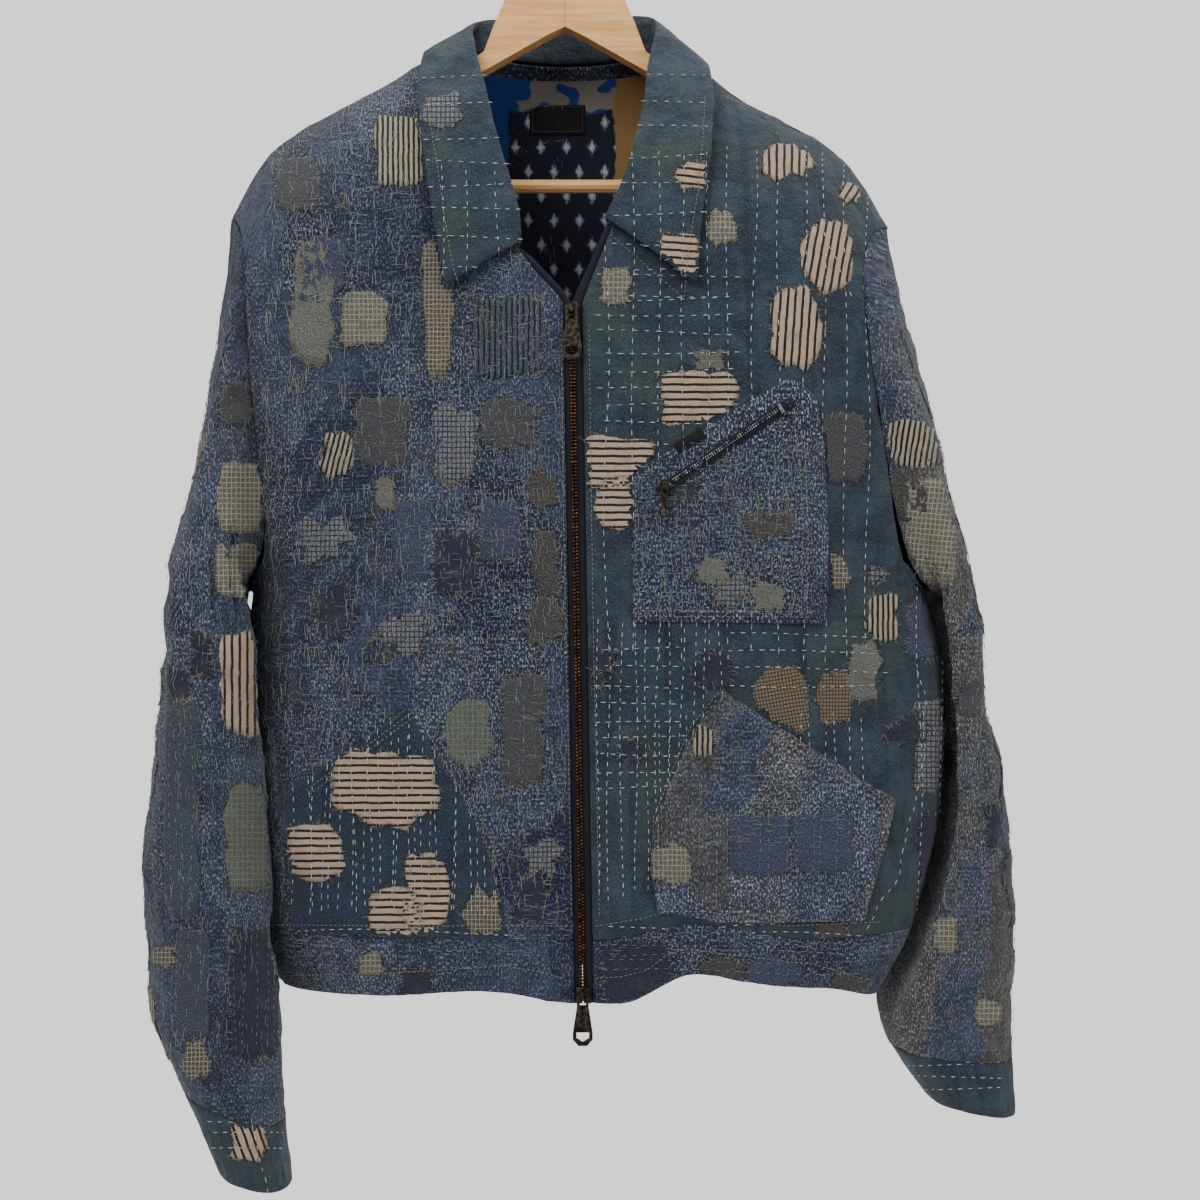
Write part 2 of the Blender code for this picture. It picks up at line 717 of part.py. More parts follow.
def on_surface(face, flat):
    """Lift a grid of (x, z) onto the body's surface, half a seam from the other face."""
    out = -1.0 if face == "front" else 1.0
    y = surface_y(face, flat[..., 0], flat[..., 1]) + out * SEAM_GAP * 0.6
    return np.stack([flat[..., 0], y, flat[..., 1]], axis=-1)


def back_grid():
    """Points of the back's outside, rows going up and columns from right to left."""
    edges = {}
    for side in (-1, 1):
        bottom_z = band_seam_z("front", side_x(side, -793.0))
        edges[side] = np.concatenate([side_edge(side, bottom_z), armhole_edge(side)[1:]])
    neck_x = np.linspace(NECKLINE[-1]["x"][-1], NECKLINE[1]["x"][-1], BACK_NECK_COLUMNS + 1)
    neck = np.stack([neck_x, np.full_like(neck_x, BACK_NECK_Z)], axis=-1)
    right_shoulder = shoulder_edge(-1)
    left_shoulder = shoulder_edge(1)
    neck[0] = right_shoulder[0]
    neck[-1] = left_shoulder[0]
    top = np.concatenate([right_shoulder[::-1], neck[1:-1], left_shoulder])
    half = (len(top) - 1) // 2
    centre = zip_x(-793.0)
    spread = side_columns(half)
    x = np.concatenate([centre + (edges[-1][0, 0] - centre) * spread[::-1],
                        centre + (edges[1][0, 0] - centre) * spread[1:]])
    bottom = np.stack([x, band_seam_z("back", x)], axis=-1)
    bottom[0] = edges[-1][0]
    bottom[-1] = edges[1][0]
    return on_surface("back", coons(bottom, top, edges[-1], edges[1]))


def panel_normals(face, grid, side):
    """Normals of a panel, kept flat along its side and shoulder seams."""
    normals = surface_normal(face, grid[..., 0], grid[..., 2])
    seams = np.zeros(grid.shape[:2], bool)
    seams[:SIDE_ROWS + 1, -1] = True
    seams[-1, -1 - SHOULDER_COLUMNS:] = True
    if face == "back":
        seams[:SIDE_ROWS + 1, 0] = True
        seams[-1, :SHOULDER_COLUMNS + 1] = True
    normals[seams, 1] = 0.0
    normals[0, :, 2] = 0.0
    return unit(normals)


def near_underarm(points):
    """How near points are to an underarm, from 0 at 80 mm to 1 at the seam."""
    near = np.zeros(points.shape[:-1])
    for side in (-1, 1):
        x, z = ARMHOLE[side]["x"][0], ARMHOLE[side]["z"][0]
        place = np.array((x, float(side_shift(side, z)), z))
        near = np.maximum(near, 1 - np.linalg.norm(points - place, axis=-1) / UNDERARM_REACH)
    return smooth_step(near * 2)


def cloth_thickness(points):
    """The wall is thinner at the underarm, where the body and the sleeve fold back to back."""
    return (CLOTH - (CLOTH - UNDERARM_CLOTH) * near_underarm(points))[..., None]


def side_name(side):
    """The wearer's side in a piece's name."""
    return "left" if side > 0 else "right"


def add_body():
    """The two fronts and the back, and the grids that other pieces are made from."""
    grids = {}
    for side in (-1, 1):
        grid = front_grid(side)
        finish = "boro_teal" if side > 0 else "boro_heather"
        normals = panel_normals("front", grid, side)
        add_wall("front_" + side_name(side), grid, normals, cloth_thickness(grid), finish)
        grids[side] = grid
        grids[side, "normals"] = normals
    grid = back_grid()
    normals = panel_normals("back", grid, 1)
    add_wall("back_panel", grid, normals, cloth_thickness(grid), "boro_heather")
    grids["back"] = grid
    grids["back", "normals"] = normals
    return grids


def band_rows(face, top_row):
    """The hem band below a panel's lowest row of points."""
    x = top_row[:, 0]
    middle = zip_x(-793.0)
    side = np.where(x < middle, -1, 1)
    reach = (x - middle) / (side_x(side, -793.0) - middle)
    low_x = middle + reach * (side_x(side, BACK_HEM_Z) - middle)
    free = np.abs(x - middle) < 10.0
    low_x = np.where(free, x + ZIP_HEM_X - middle, low_x)
    top_z = top_row[:, 2] - SEAM_GAP
    low_z = hem_z(face, low_x)
    rows = []
    for part in (1.0, 0.66, 0.33, 0.0):
        rows.append(np.stack([x + (low_x - x) * part, top_z + (low_z - top_z) * part], axis=-1))
    return on_surface(face, np.array(rows))


def add_hem_band(grids):
    """The band round the hem: one piece for each front and one behind."""
    bands = {}
    for key, face, name in ((-1, "front", "hem_band_right"), (1, "front", "hem_band_left"),
                            ("back", "back", "hem_band_back")):
        grid = band_rows(face, grids[key][0])
        normals = grid_normals(grid, 1 if key == "back" else -key)
        normals[-1, :, 2] = 0.0
        normals[:, -1, 1:] = 0.0
        if face == "back":
            normals[:, 0, 1:] = 0.0
        add_wall(name, grid, unit(normals), BAND_CLOTH, "boro_heather")
        bands[key] = grid
    return bands


# Sleeves and cuffs

def sleeve_row(side, row, name):
    """A column of the sleeve's table at a row that need not be whole."""
    rows = dict(SLEEVE[side])
    rows["row"] = np.arange(len(rows["mid_y"]), dtype=float)
    return smooth(rows, "row", name, row)


def armhole_loop(side, turn):
    """The armhole at turns 0 (tip), through the front, 0.5 (underarm) and the back."""
    edge = armhole_edge(side)[::-1]
    count = len(edge) - 1
    place = np.minimum(turn, 1 - turn) * 2 * count
    x = np.interp(place, np.arange(count + 1), edge[:, 0])
    z = np.interp(place, np.arange(count + 1), edge[:, 1])
    y = np.where(turn <= 0.5, surface_y("front", x, z), surface_y("back", x, z))
    return np.stack([x, y, z], axis=-1)


def body_clear_x(side, y, z):
    """How far out the body reaches at a depth and height: the armhole, and the side below it."""
    edge = armhole_edge(side)
    at_armhole = np.interp(z, edge[:, 1], edge[:, 0])
    below = smooth_step((edge[0, 1] - z) / 30.0)
    shift = side_shift(side, z)
    front = smooth(SECTIONS, "z", "front", z) + shift
    back = smooth(SECTIONS, "z", "back", z) - shift
    share = np.clip(np.where(y < shift, (shift - y) / front, (y - shift) / back), 0.0, 1.0)
    middle = zip_x(z)
    across = (1 - share**BODY_ROUND) ** (1 / BODY_ROUND)
    at_side = middle + (side_x(side, z) - middle) * across
    return at_armhole + (at_side - at_armhole) * below


def sleeve_point(side, row, turn):
    """A point of the sleeve's outside at a row down it and a turn round it."""
    angle = 2 * math.pi * turn
    power = 2 / SLEEVE_ROUND
    out = np.sign(np.cos(angle)) * np.abs(np.cos(angle)) ** power
    front = np.sign(np.sin(angle)) * np.abs(np.sin(angle)) ** power
    share = (out + 1) / 2
    outer_x = sleeve_row(side, row, "outer_x")
    inner_x = sleeve_row(side, row, "inner_x")
    outer_z = sleeve_row(side, row, "outer_z")
    inner_z = sleeve_row(side, row, "inner_z")
    x = inner_x + (outer_x - inner_x) * share
    z = inner_z + (outer_z - inner_z) * share
    y = sleeve_row(side, row, "mid_y") - sleeve_row(side, row, "depth") * front
    loop = armhole_loop(side, turn)
    plain_x = ARMHOLE[side]["x"][0] + (ARMHOLE[side]["x"][-1] - ARMHOLE[side]["x"][0]) * share
    plain_z = ARMHOLE[side]["z"][0] + (ARMHOLE[side]["z"][-1] - ARMHOLE[side]["z"][0]) * share
    plain_y = -SLEEVE[side]["depth"][0] * front
    head = 1 - smooth_step(row / HEAD_ROWS)
    x = x + (loop[..., 0] - plain_x) * head + side * SEAM_GAP * 1.5
    y = y + (loop[..., 1] - plain_y) * head
    z = z + (loop[..., 2] - plain_z) * head
    away = smooth_step(row / FIRST_ROW)
    radial = sleeve_fold(side, row, turn) * away
    x = x + side * radial * out
    y = y - radial * front
    low = smooth_step((ARMHOLE[side]["z"][0] + 50.0 - z) / 50.0)
    room = SLEEVE_CLEARANCE + UNDERARM_CLEARANCE * low
    clear = body_clear_x(side, y, z) + side * room
    short = np.maximum(side * (clear - x), 0.0) * away
    return np.stack([x + side * short, y, z], axis=-1)


def sleeve_fold(side, row, turn):
    """The sum of a sleeve's soft folds."""
    rows = SLEEVE_FOLDS[side]
    total = np.zeros(np.broadcast(row, turn).shape)
    for row0, turn0, row1, turn1, height in zip(*[rows[name] for name in rows]):
        run = np.array((row1 - row0, (turn1 - turn0) * 10))
        offset_row = row - row0
        offset_turn = (turn - turn0) * 10
        along = np.clip((offset_row * run[0] + offset_turn * run[1]) / (run @ run), 0.0, 1.0)
        away = np.hypot(offset_row - along * run[0], offset_turn - along * run[1])
        total += height * np.exp(-((away / 0.75) ** 2))
    return total


def sleeve_grid(side, rows, turns):
    """Points and outward normals of the whole sleeve."""
    row, turn = np.meshgrid(rows, turns, indexing="ij")
    points = sleeve_point(side, row, turn)
    around = np.roll(points, -1, axis=1) - np.roll(points, 1, axis=1)
    down = np.gradient(points, axis=0)
    return points, unit(np.cross(around, down)) * side


def armhole_ring(grids, side, key):
    """The body's own points or normals round an armhole: tip, front, underarm and back."""
    suffix = (lambda name: (name, "normals")) if key == "normals" else (lambda name: name)
    front = grids[suffix(side)][SIDE_ROWS:, -1]
    back = grids[suffix("back")][SIDE_ROWS:, -1 if side > 0 else 0]
    return np.concatenate([front[::-1], back[1:-1]])


def sleeve_start(grids, side, turns):
    """The sleeve's first ring and its wall directions, which face the body at the underarm."""
    points = armhole_ring(grids, side, "points")
    normals = armhole_ring(grids, side, "normals")
    along = np.roll(points, -1, axis=0) - np.roll(points, 1, axis=0)
    lap = np.array((side, 0.0, 0.0)) * UNDERARM_GAP * near_underarm(points)[:, None]
    points = points + unit(np.cross(normals, along)) * side * SEAM_GAP * 1.7 + lap
    under = smooth_step((0.16 - np.abs(turns - 0.5)) / 0.16)[:, None]
    return points, unit(normals * (1 - under) + np.array((-side, 0.0, 0.0)) * under)


def add_sleeves(grids):
    """Each sleeve hangs from its armhole, and its cuff follows below a seam."""
    around = 2 * len(ARMHOLE_STEPS)
    turns = np.arange(around) / around
    for side in (-1, 1):
        last = len(SLEEVE[side]["mid_y"]) - 1
        rows = np.concatenate([(0.0,), np.linspace(FIRST_ROW, CUFF_ROW, SLEEVE_ROWS),
                               np.linspace(CUFF_ROW + 0.016, last, CUFF_ROWS)])
        points, normals = sleeve_grid(side, rows, turns)
        points[0], normals[0] = sleeve_start(grids, side, turns)
        cut = len(rows) - CUFF_ROWS
        add_wall("sleeve_" + side_name(side), points[:cut], normals[:cut],
                 cloth_thickness(points[:cut]), "boro_heather", tube=True)
        normals[cut] = normals[cut - 1]
        add_wall("cuff_" + side_name(side), points[cut:], normals[cut:], BAND_CLOTH, "boro_teal",
                 tube=True)


# The collar

def collar_profiles():
    """The collar's upper side: seam, stand, fold and fall at each station."""
    share = np.linspace(0.0, 1.0, COLLAR_STATIONS + 1)
    stations = smooth_path(COLLAR, "neck_x neck_z fold_x fold_y fold_z edge_x edge_y edge_z face",
                           share)
    neck_x, neck_z, face = stations[:, 0], stations[:, 1], stations[:, 8]
    fold = stations[:, 2:5]
    edge = stations[:, 5:8]
    weight = smooth_step(face * 3 + 0.5)
    neck_y = (surface_y("front", neck_x, neck_z) * (1 - weight)
              + surface_y("back", neck_x, neck_z) * weight)
    seam = np.stack([neck_x, neck_y, neck_z], axis=-1)
    outward = unit(np.stack([neck_x, neck_y - 10.0, np.zeros_like(neck_x)], axis=-1))
    fold[:, 1] = np.where(face < -0.3, np.minimum(fold[:, 1], neck_y - FOLD_PROUD), fold[:, 1])
    seam = seam - outward * CLOTH
    seam = seam + unit(fold - seam) * (SEAM_GAP + 2.6)
    edge = lift_clear(edge, face, FALL_LIFT)
    into = unit(unit(seam - fold) + unit(edge - fold))
    apart = unit(np.cross(np.gradient(fold, axis=0), into))
    inner_fold = fold + into * FOLD_DROP - apart * FOLD_HALF_GAP
    outer_fold = lift_clear(fold + into * FOLD_DROP + apart * FOLD_HALF_GAP, face, FALL_LIFT)
    middle = (outer_fold + edge) / 2 + apart * 2.0
    middle = lift_clear(middle, face, FALL_LIFT + 1.0)
    stand = seam + (inner_fold - seam) * 0.5
    rows = [seam, stand, inner_fold, fold, outer_fold, middle, edge]
    return np.stack(rows, axis=0)


def lift_clear(points, face, lift):
    """Points of the fall, kept clear of the front and the back that they lie over."""
    front = surface_y("front", points[:, 0], points[:, 2]) - lift
    back = surface_y("back", points[:, 0], points[:, 2]) + lift
    y = np.where(face < -0.3, np.minimum(points[:, 1], front), points[:, 1])
    y = np.where(face > 0.3, np.maximum(y, back), y)
    return np.stack([points[:, 0], y, points[:, 2]], axis=-1)


def grid_normals(grid, sign):
    """Normals of a grid from its neighbouring points."""
    down = np.gradient(grid, axis=0)
    along = np.gradient(grid, axis=1)
    return unit(np.cross(down, along)) * sign


def add_collar():
    """One folded wall: the stand rises from the neck seam and the fall lies outside."""
    grid = collar_profiles()
    add_wall("collar", grid, grid_normals(grid, -1.0), CLOTH, "boro_teal")


# Pockets, lining and labels

def strip_outline(path, drop, width):
    """A straight strip's corners, below and along a slanted line."""
    start = np.array((path["x"][0], path["z"][0]))
    end = np.array((path["x"][1], path["z"][1]))
    run = (end - start) / np.linalg.norm(end - start)
    below = np.array((run[1], -run[0]))
    corners = [start + below * (drop + width), end + below * (drop + width),
               end + below * drop, start + below * drop]
    return {"x": np.array([corner[0] for corner in corners]),
            "z": np.array([corner[1] for corner in corners])}


def add_panel_pieces(grids):
    """What is sewn on the panels, made from the panels' own facets."""
    top = SEAM_GAP + POCKET_CLOTH
    for name, side in (("chest_pocket", 1), ("hand_pocket_right", -1), ("hand_pocket_left", 1)):
        add_on_panel(name, grids[side], "front", POCKETS[name], SEAM_GAP, top, "boro_heather")
    low = top + SEAM_GAP
    tape = strip_outline(CHEST_ZIP, 0.0, CHEST_ZIP_WIDTH)
    add_on_panel("chest_zip_tape", grids[1], "front", tape, low, low + TAPE_CLOTH, "zip_tape")
    tab = strip_outline(TAB_LABEL, -TAB_LABEL_WIDTH / 2, TAB_LABEL_WIDTH)
    add_on_panel("pocket_tab", grids[1], "front", tab, low, low + LABEL_CLOTH, "label")
    inside = -CLOTH - SEAM_GAP
    add_on_panel("neck_lining", grids["back"], "back", NECK_LINING, inside - LINING_CLOTH, inside,
                 "kasuri_lining")
    over = inside - LINING_CLOTH - SEAM_GAP
    add_on_panel("neck_label", grids["back"], "back", NECK_LABEL, over - LABEL_CLOTH, over, "label")


# Zips

def surface_point(x, z, lift):
    """A point in front of the front's surface, by the surface's own normal."""
    x = np.asarray(x, float)
    z = np.asarray(z, float)
    y = surface_y("front", x, z) - SEAM_GAP * 0.6
    return np.stack([x, y, z], axis=-1) + surface_normal("front", x, z) * lift


def add_main_zip(bands, grids):
    """The two tapes beside the chain, and the closed chain between the sliders."""
    for side in (-1, 1):
        opened = grids[side][-1, 1:OPEN_COLUMNS + 1]
        edge = np.concatenate([bands[side][:, 0], grids[side][:, 0], opened])
        along = np.gradient(edge, axis=0) * (1.0, 0.0, 1.0)
        inboard = unit(np.cross(along, (0.0, 1.0, 0.0))) * side
        width = np.full(len(edge), ZIP_EDGE[side] - SEAM_GAP)
        width[-OPEN_COLUMNS:] = OPEN_TAPE_WIDTH
        shift = np.array((0.0, TAPE_SET_BACK, 0.0))
        outer = edge + inboard * SEAM_GAP * 1.5 + shift
        inner = edge + inboard * width[:, None] + shift
        grid = np.stack([inner, outer], axis=1)
        normals = np.zeros_like(grid)
        normals[..., 1] = -1.0
        add_wall("zip_tape_" + side_name(side), grid, normals, TAPE_CLOTH, "zip_tape")
    z = np.linspace(CHAIN_BOTTOM_Z, CHAIN_TOP_Z, CHAIN_ROWS + 1)
    edge = np.concatenate([bands[1][:, 0], grids[1][:, 0]])
    other = np.concatenate([bands[-1][:, 0], grids[-1][:, 0]])
    y = np.minimum(np.interp(z, edge[:, 2], edge[:, 1]), np.interp(z, other[:, 2], other[:, 1]))
    columns = []
    for offset in (-CHAIN_HALF_WIDTH, CHAIN_HALF_WIDTH):
        columns.append(np.stack([zip_x(z) + offset, y - CHAIN_PROUD, z], axis=-1))
    grid = np.stack(columns, axis=1)
    normals = np.zeros_like(grid)
    normals[..., 1] = -1.0
    add_wall("zip_chain", grid, normals, CHAIN_THICK, "copper_teeth")


def box_mesh(bm, low, high):
    """An axis-aligned box between two corners, in millimetres."""
    size = np.array(high, float) - np.array(low, float)
    middle = (np.array(high, float) + np.array(low, float)) / 2
    made = bmesh.ops.create_cube(bm, size=1.0)
    bmesh.ops.scale(bm, vec=size, verts=made["verts"])
    bmesh.ops.translate(bm, vec=middle, verts=made["verts"])


def extrude_outline(bm, points, depth_axis, low, high):
    """A prism from an outline of (x, z) points, or (y, z) points when it runs along x."""
    sides = []
    for level in (low, high):
        ring = []
        for a, b in points:
            place = (a, level, b) if depth_axis == "y" else (level, a, b)
            ring.append(bm.verts.new(place))
        sides.append(ring)
        bm.faces.new(ring)
    for index in range(len(points)):
        after = (index + 1) % len(points)
        bm.faces.new((sides[0][index], sides[0][after], sides[1][after], sides[1][index]))


def finish_hardware(name, bm, place, finish):
    """Move a small piece from its own axis to its place, in metres."""
    bmesh.ops.translate(bm, vec=place, verts=bm.verts)
    bmesh.ops.scale(bm, vec=(MM, MM, MM), verts=bm.verts)
    bmesh.ops.triangulate(bm, faces=bm.faces)
    return add_object(name, bm, finish)


def add_slider(name, size, place, finish):
    """A slider as one extruded side view: its body with the bridge that holds the pull."""
    half = size["half_width"]
    tall = size["height"] / 2
    tunnel = size["tunnel"] / 2
    back = tunnel + size["thick"]
    bridge = size["bridge"] / 2
    bm = bmesh.new()
    body = [(tunnel, -tall), (back, -tall), (back, tall), (tunnel, tall)]
    extrude_outline(bm, body, "x", -half, half)
    plate = add_object(name, bm, finish)
    for vert in plate.data.vertices:
        vert.co = (vert.co + place_vector(place)) * MM
    bm = bmesh.new()
    post = BRIDGE_WALL
    reach = tall - 1.0
    outer = [(tunnel + 0.6, -reach), (-tunnel - post, -reach + 1.4), (-tunnel - post, reach - 1.4),
             (tunnel + 0.6, reach)]
    inner = [(tunnel + 0.6, reach - post - 0.4), (-tunnel, reach - post - 1.2),
             (-tunnel, -reach + post + 1.2), (tunnel + 0.6, -reach + post + 0.4)]
    extrude_outline(bm, outer + inner, "x", -bridge, bridge)
    arch = add_object(name + "_bridge", bm, finish)
    for vert in arch.data.vertices:
        vert.co = (vert.co + place_vector(place)) * MM
    join_bodies(plate, arch)
    return plate


def place_vector(place):
    """A place as a vector."""
    return Vector([float(value) for value in place])


def join_bodies(keep, other):
    """Fuse one object into another with a Boolean union, and remove the other."""
    union = keep.modifiers.new("union", "BOOLEAN")
    union.operation = "UNION"
    union.solver = "EXACT"
    union.object = other
    graph = bpy.context.evaluated_depsgraph_get()
    mesh = bpy.data.meshes.new_from_object(keep.evaluated_get(graph))
    keep.modifiers.remove(union)
    keep.data = mesh
    bpy.data.objects.remove(other, do_unlink=True)


def plate_with_windows(bm, outline, windows, half_thick):
    """A flat plate with holes: each hole is bridged to the outline at its nearest corner."""
    faces = []
    for level in (-half_thick, half_thick):
        loops = []
        for loop in [outline] + windows:
            loops.append([bm.verts.new((x, level, z)) for x, z in loop])
        edges = []
        for loop in loops:
            for index, vert in enumerate(loop):
                edges.append(bm.edges.new((vert, loop[(index + 1) % len(loop)])))
        bmesh.ops.triangle_fill(bm, edges=edges, use_beauty=True)
        faces.append(loops)
    for low, high in zip(*faces):
        for index in range(len(low)):
            after = (index + 1) % len(low)
            bm.faces.new((low[index], low[after], high[after], high[index]))


def arc_points(radius, x, z, start, end, count):
    """Points of an arc, in degrees from +X towards +Z."""
    angles = np.radians(np.linspace(start, end, count))
    return [(x + radius * math.cos(angle), z + radius * math.sin(angle)) for angle in angles]


def add_main_tab(name, place):
    """The main zip's pull: a tab that widens to a blunt point, with a slot and a hole."""
    bar = TAB["bar"]
    top = TAB["top_width"] / 2
    low = TAB["low_width"] / 2
    end = -TAB["length"]
    outline = [(-top, bar), (top, bar), (top, -9.0), (low, end + 9.0), (low, end + 4.5),
               (low - 4.0, end), (-low + 4.0, end), (-low, end + 4.5), (-low, end + 9.0),
               (-top, -9.0)]
    slot = [(-2.2, -bar), (2.2, -bar), (2.2, -7.5), (-2.2, -7.5)]
    hole = [(-4.4, end + 9.5), (4.4, end + 9.5), (4.4, end + 5.5), (0.0, end + 2.8),
            (-4.4, end + 5.5)]
    bm = bmesh.new()
    plate_with_windows(bm, outline, [slot, hole], TAB["thick"] / 2)
    for vert in bm.verts:
        if vert.co.z > -bar - 0.01:
            vert.co.y *= TAB["bar"] / (TAB["thick"] / 2)
    return finish_hardware(name, bm, place, "antique_metal")


def add_chest_pull(name, place):
    """The chest zip's pull: a small link that ends in a round eye."""
    half = CHEST_TAB["width"] / 2
    bar = CHEST_TAB["bar"]
    eye_z = -CHEST_TAB["length"] - CHEST_TAB["eye"]
    meet = math.degrees(math.asin(0.4))
    eye = arc_points(CHEST_TAB["eye"], 0.0, eye_z, 90 - meet, -270 + meet, 17)
    outline = [(-half, bar), (half, bar), (half, -6.0)] + eye + [(-half, -6.0)]
    slot = [(-1.3, -bar), (1.3, -bar), (1.3, -4.5), (-1.3, -4.5)]
    hole = arc_points(CHEST_TAB["hole"], 0.0, eye_z, 0, 360, 13)[:-1]
    bm = bmesh.new()
    plate_with_windows(bm, outline, [slot, hole], CHEST_TAB["thick"] / 2)
    return finish_hardware(name, bm, place, "antique_metal")


def chest_zip_point(share, lift):
    """A point on the middle of the chest zip's tape."""
    x = CHEST_ZIP["x"][0] + (CHEST_ZIP["x"][1] - CHEST_ZIP["x"][0]) * share
    z = CHEST_ZIP["z"][0] + (CHEST_ZIP["z"][1] - CHEST_ZIP["z"][0]) * share
    run = np.array((CHEST_ZIP["x"][1] - CHEST_ZIP["x"][0], CHEST_ZIP["z"][1] - CHEST_ZIP["z"][0]))
    below = np.array((run[1], -run[0])) / np.linalg.norm(run) * CHEST_ZIP_WIDTH / 2
    return surface_point(x + below[0], z + below[1], lift)


def add_hardware(bands, grids):
    """Sliders, tabs and the end stop. Each tab's hinge is the middle of its bar."""
    places = {}
    for name, z in (("top", CHAIN_TOP_Z + 0.3 + SLIDER["height"] / 2),
                    ("bottom", CHAIN_BOTTOM_Z - 0.3 - SLIDER["height"] / 2)):
        edge = np.concatenate([bands[1][:, 0], grids[1][:, 0]])
        y = float(np.interp(z, edge[:, 2], edge[:, 1])) - SLIDER_PROUD
        places[name] = (float(zip_x(z)), y, z)
        add_slider("zip_slider_" + name, SLIDER, places[name], "antique_metal")
        add_main_tab("zip_pull_" + name, places[name])
    lift = SEAM_GAP * 3 + POCKET_CLOTH + TAPE_CLOTH
    thick = CHEST_HARDWARE["thick"] + CHEST_HARDWARE["tunnel"] / 2
    seat = chest_zip_point(CHEST_SLIDER, lift)
    places["chest"] = (float(seat[0]), float(seat[1]) - thick - 1.2, float(seat[2]))
    add_slider("chest_zip_slider", CHEST_HARDWARE, places["chest"], "antique_metal")
    add_chest_pull("chest_pull", places["chest"])
    stop = chest_zip_point(CHEST_STOP, lift)
    bm = bmesh.new()
    box_mesh(bm, (-3.5, -2.2, -1.2), (3.5, 0.0, 1.2))
    run = math.atan2(CHEST_ZIP["z"][1] - CHEST_ZIP["z"][0], CHEST_ZIP["x"][1] - CHEST_ZIP["x"][0])
    bmesh.ops.rotate(bm, verts=bm.verts, matrix=Matrix.Rotation(math.pi / 2 - run, 3, "Y"))
    finish_hardware("chest_zip_stop", bm, stop - np.array((0.0, 0.8, 0.0)), "steel_wire")
    return places


# The hanger

def add_arm(side):
    """One arm of the hanger: a flat board under the shoulder, thick at the middle."""
    reach = float(ARM_TOP["x"][-1])
    x = np.concatenate([np.linspace(SEAM_GAP / 2, 60.0, 9), np.linspace(75.0, reach - 8.0, 9)])
    under = smooth(SHOULDER, "x", "z", side * x) - ARM_UNDER_CLOTH
    plain = smooth(ARM_TOP, "x", "z", x)
    top = np.where(x > 95.0, np.minimum(under, plain + 14.0), plain)
    top = np.where(x <= 95.0, plain, top)
    bottom = np.interp(x, ARM_BOTTOM["x"], ARM_BOTTOM["z"])
    outline = list(zip(side * x, top))
    outline += [(side * reach, top[-1] - 12.0), (side * reach, -243.0), (side * (reach - 6.0), -251.0)]
    lower = [(side * 188.0, -254.0), (side * 170.0, -253.0), (side * 167.0, -249.0),
             (side * 167.0, -221.0)]
    outline += lower
    outline += [(side * a, b) for a, b in zip(x[::-1], bottom[::-1]) if a < 160.0]
    bm = bmesh.new()
    extrude_outline(bm, outline, "y", -BOARD_HALF, BOARD_HALF)
    long_edges = [edge for edge in bm.edges
                  if abs(edge.verts[0].co.y - edge.verts[1].co.y) < 0.1
                  and min(abs(edge.verts[0].co.x), abs(edge.verts[1].co.x)) > 0.2]
    bmesh.ops.bevel(bm, geom=long_edges, offset=2.5, segments=2, profile=0.5, affect="EDGES",
                    clamp_overlap=True)
    finish_hardware("hanger_arm_" + side_name(side), bm, (0.0, 0.0, 0.0), "beech")


def tube_piece(name, points, radius, sides, finish):
    """A round bar or bent wire as a curve with filled caps."""
    curve = bpy.data.curves.new(name, "CURVE")
    curve.dimensions = "3D"
    curve.bevel_depth = radius * MM
    curve.bevel_resolution = sides
    curve.use_fill_caps = True
    spline = curve.splines.new("POLY")
    spline.points.add(len(points) - 1)
    for spot, (x, y, z) in zip(spline.points, points):
        spot.co = (x * MM, y * MM, z * MM, 1.0)
    curve.materials.append(material(finish))
    piece = bpy.data.objects.new(name, curve)
    bpy.context.scene.collection.objects.link(piece)
    return piece


def add_hanger():
    """The two arms, the round bar between them, the wire hook and its ferrule."""
    for side in (-1, 1):
        add_arm(side)
    half = 167.0 - SEAM_GAP
    tube_piece("hanger_bar", [(x, 0.0, BAR_Z) for x in np.linspace(-half, half, 9)],
               BAR_RADIUS, 3, "beech")
    stem_low = float(ARM_TOP["z"][0]) + SEAM_GAP + 0.2
    middle = HOOK_RADIUS + WIRE_RADIUS
    points = [(0.0, 0.0, z) for z in np.linspace(stem_low, -HOOK_RADIUS - middle - 2.0, 4)]
    for angle in np.radians(np.linspace(-90.0, HOOK_END_TURN, 26)):
        points.append((middle * math.cos(angle), 0.0, -HOOK_RADIUS + middle * math.sin(angle)))
    tube_piece("hanger_hook", points, WIRE_RADIUS, 3, "steel_wire")
    bm = bmesh.new()
    inner = WIRE_RADIUS + SEAM_GAP
    profile = [(inner, 0.0), (FERRULE_RADIUS, 0.0), (FERRULE_RADIUS, 3.0),
               (FERRULE_RADIUS - 2.0, FERRULE_HEIGHT), (inner, FERRULE_HEIGHT)]
    rings = []
    for turn in range(16):
        angle = 2 * math.pi * turn / 16
        rings.append([bm.verts.new((radius * math.cos(angle), radius * math.sin(angle), z))
                      for radius, z in profile])
    for here, there in zip(rings, rings[1:] + rings[:1]):
        for index in range(len(profile)):
            after = (index + 1) % len(profile)
            bm.faces.new((here[index], here[after], there[after], there[index]))
    finish_hardware("hook_ferrule", bm, (0.0, 0.0, stem_low), "steel_wire")


def main():
    """Build the whole garment and its hanger."""
    for old in list(bpy.data.objects):
        bpy.data.objects.remove(old, do_unlink=True)
    grids = add_body()
    bands = add_hem_band(grids)
    add_sleeves(grids)
    add_collar()
    add_panel_pieces(grids)
    add_main_zip(bands, grids)
    add_hardware(bands, grids)
    add_hanger()


if __name__ == "__main__":
    main()
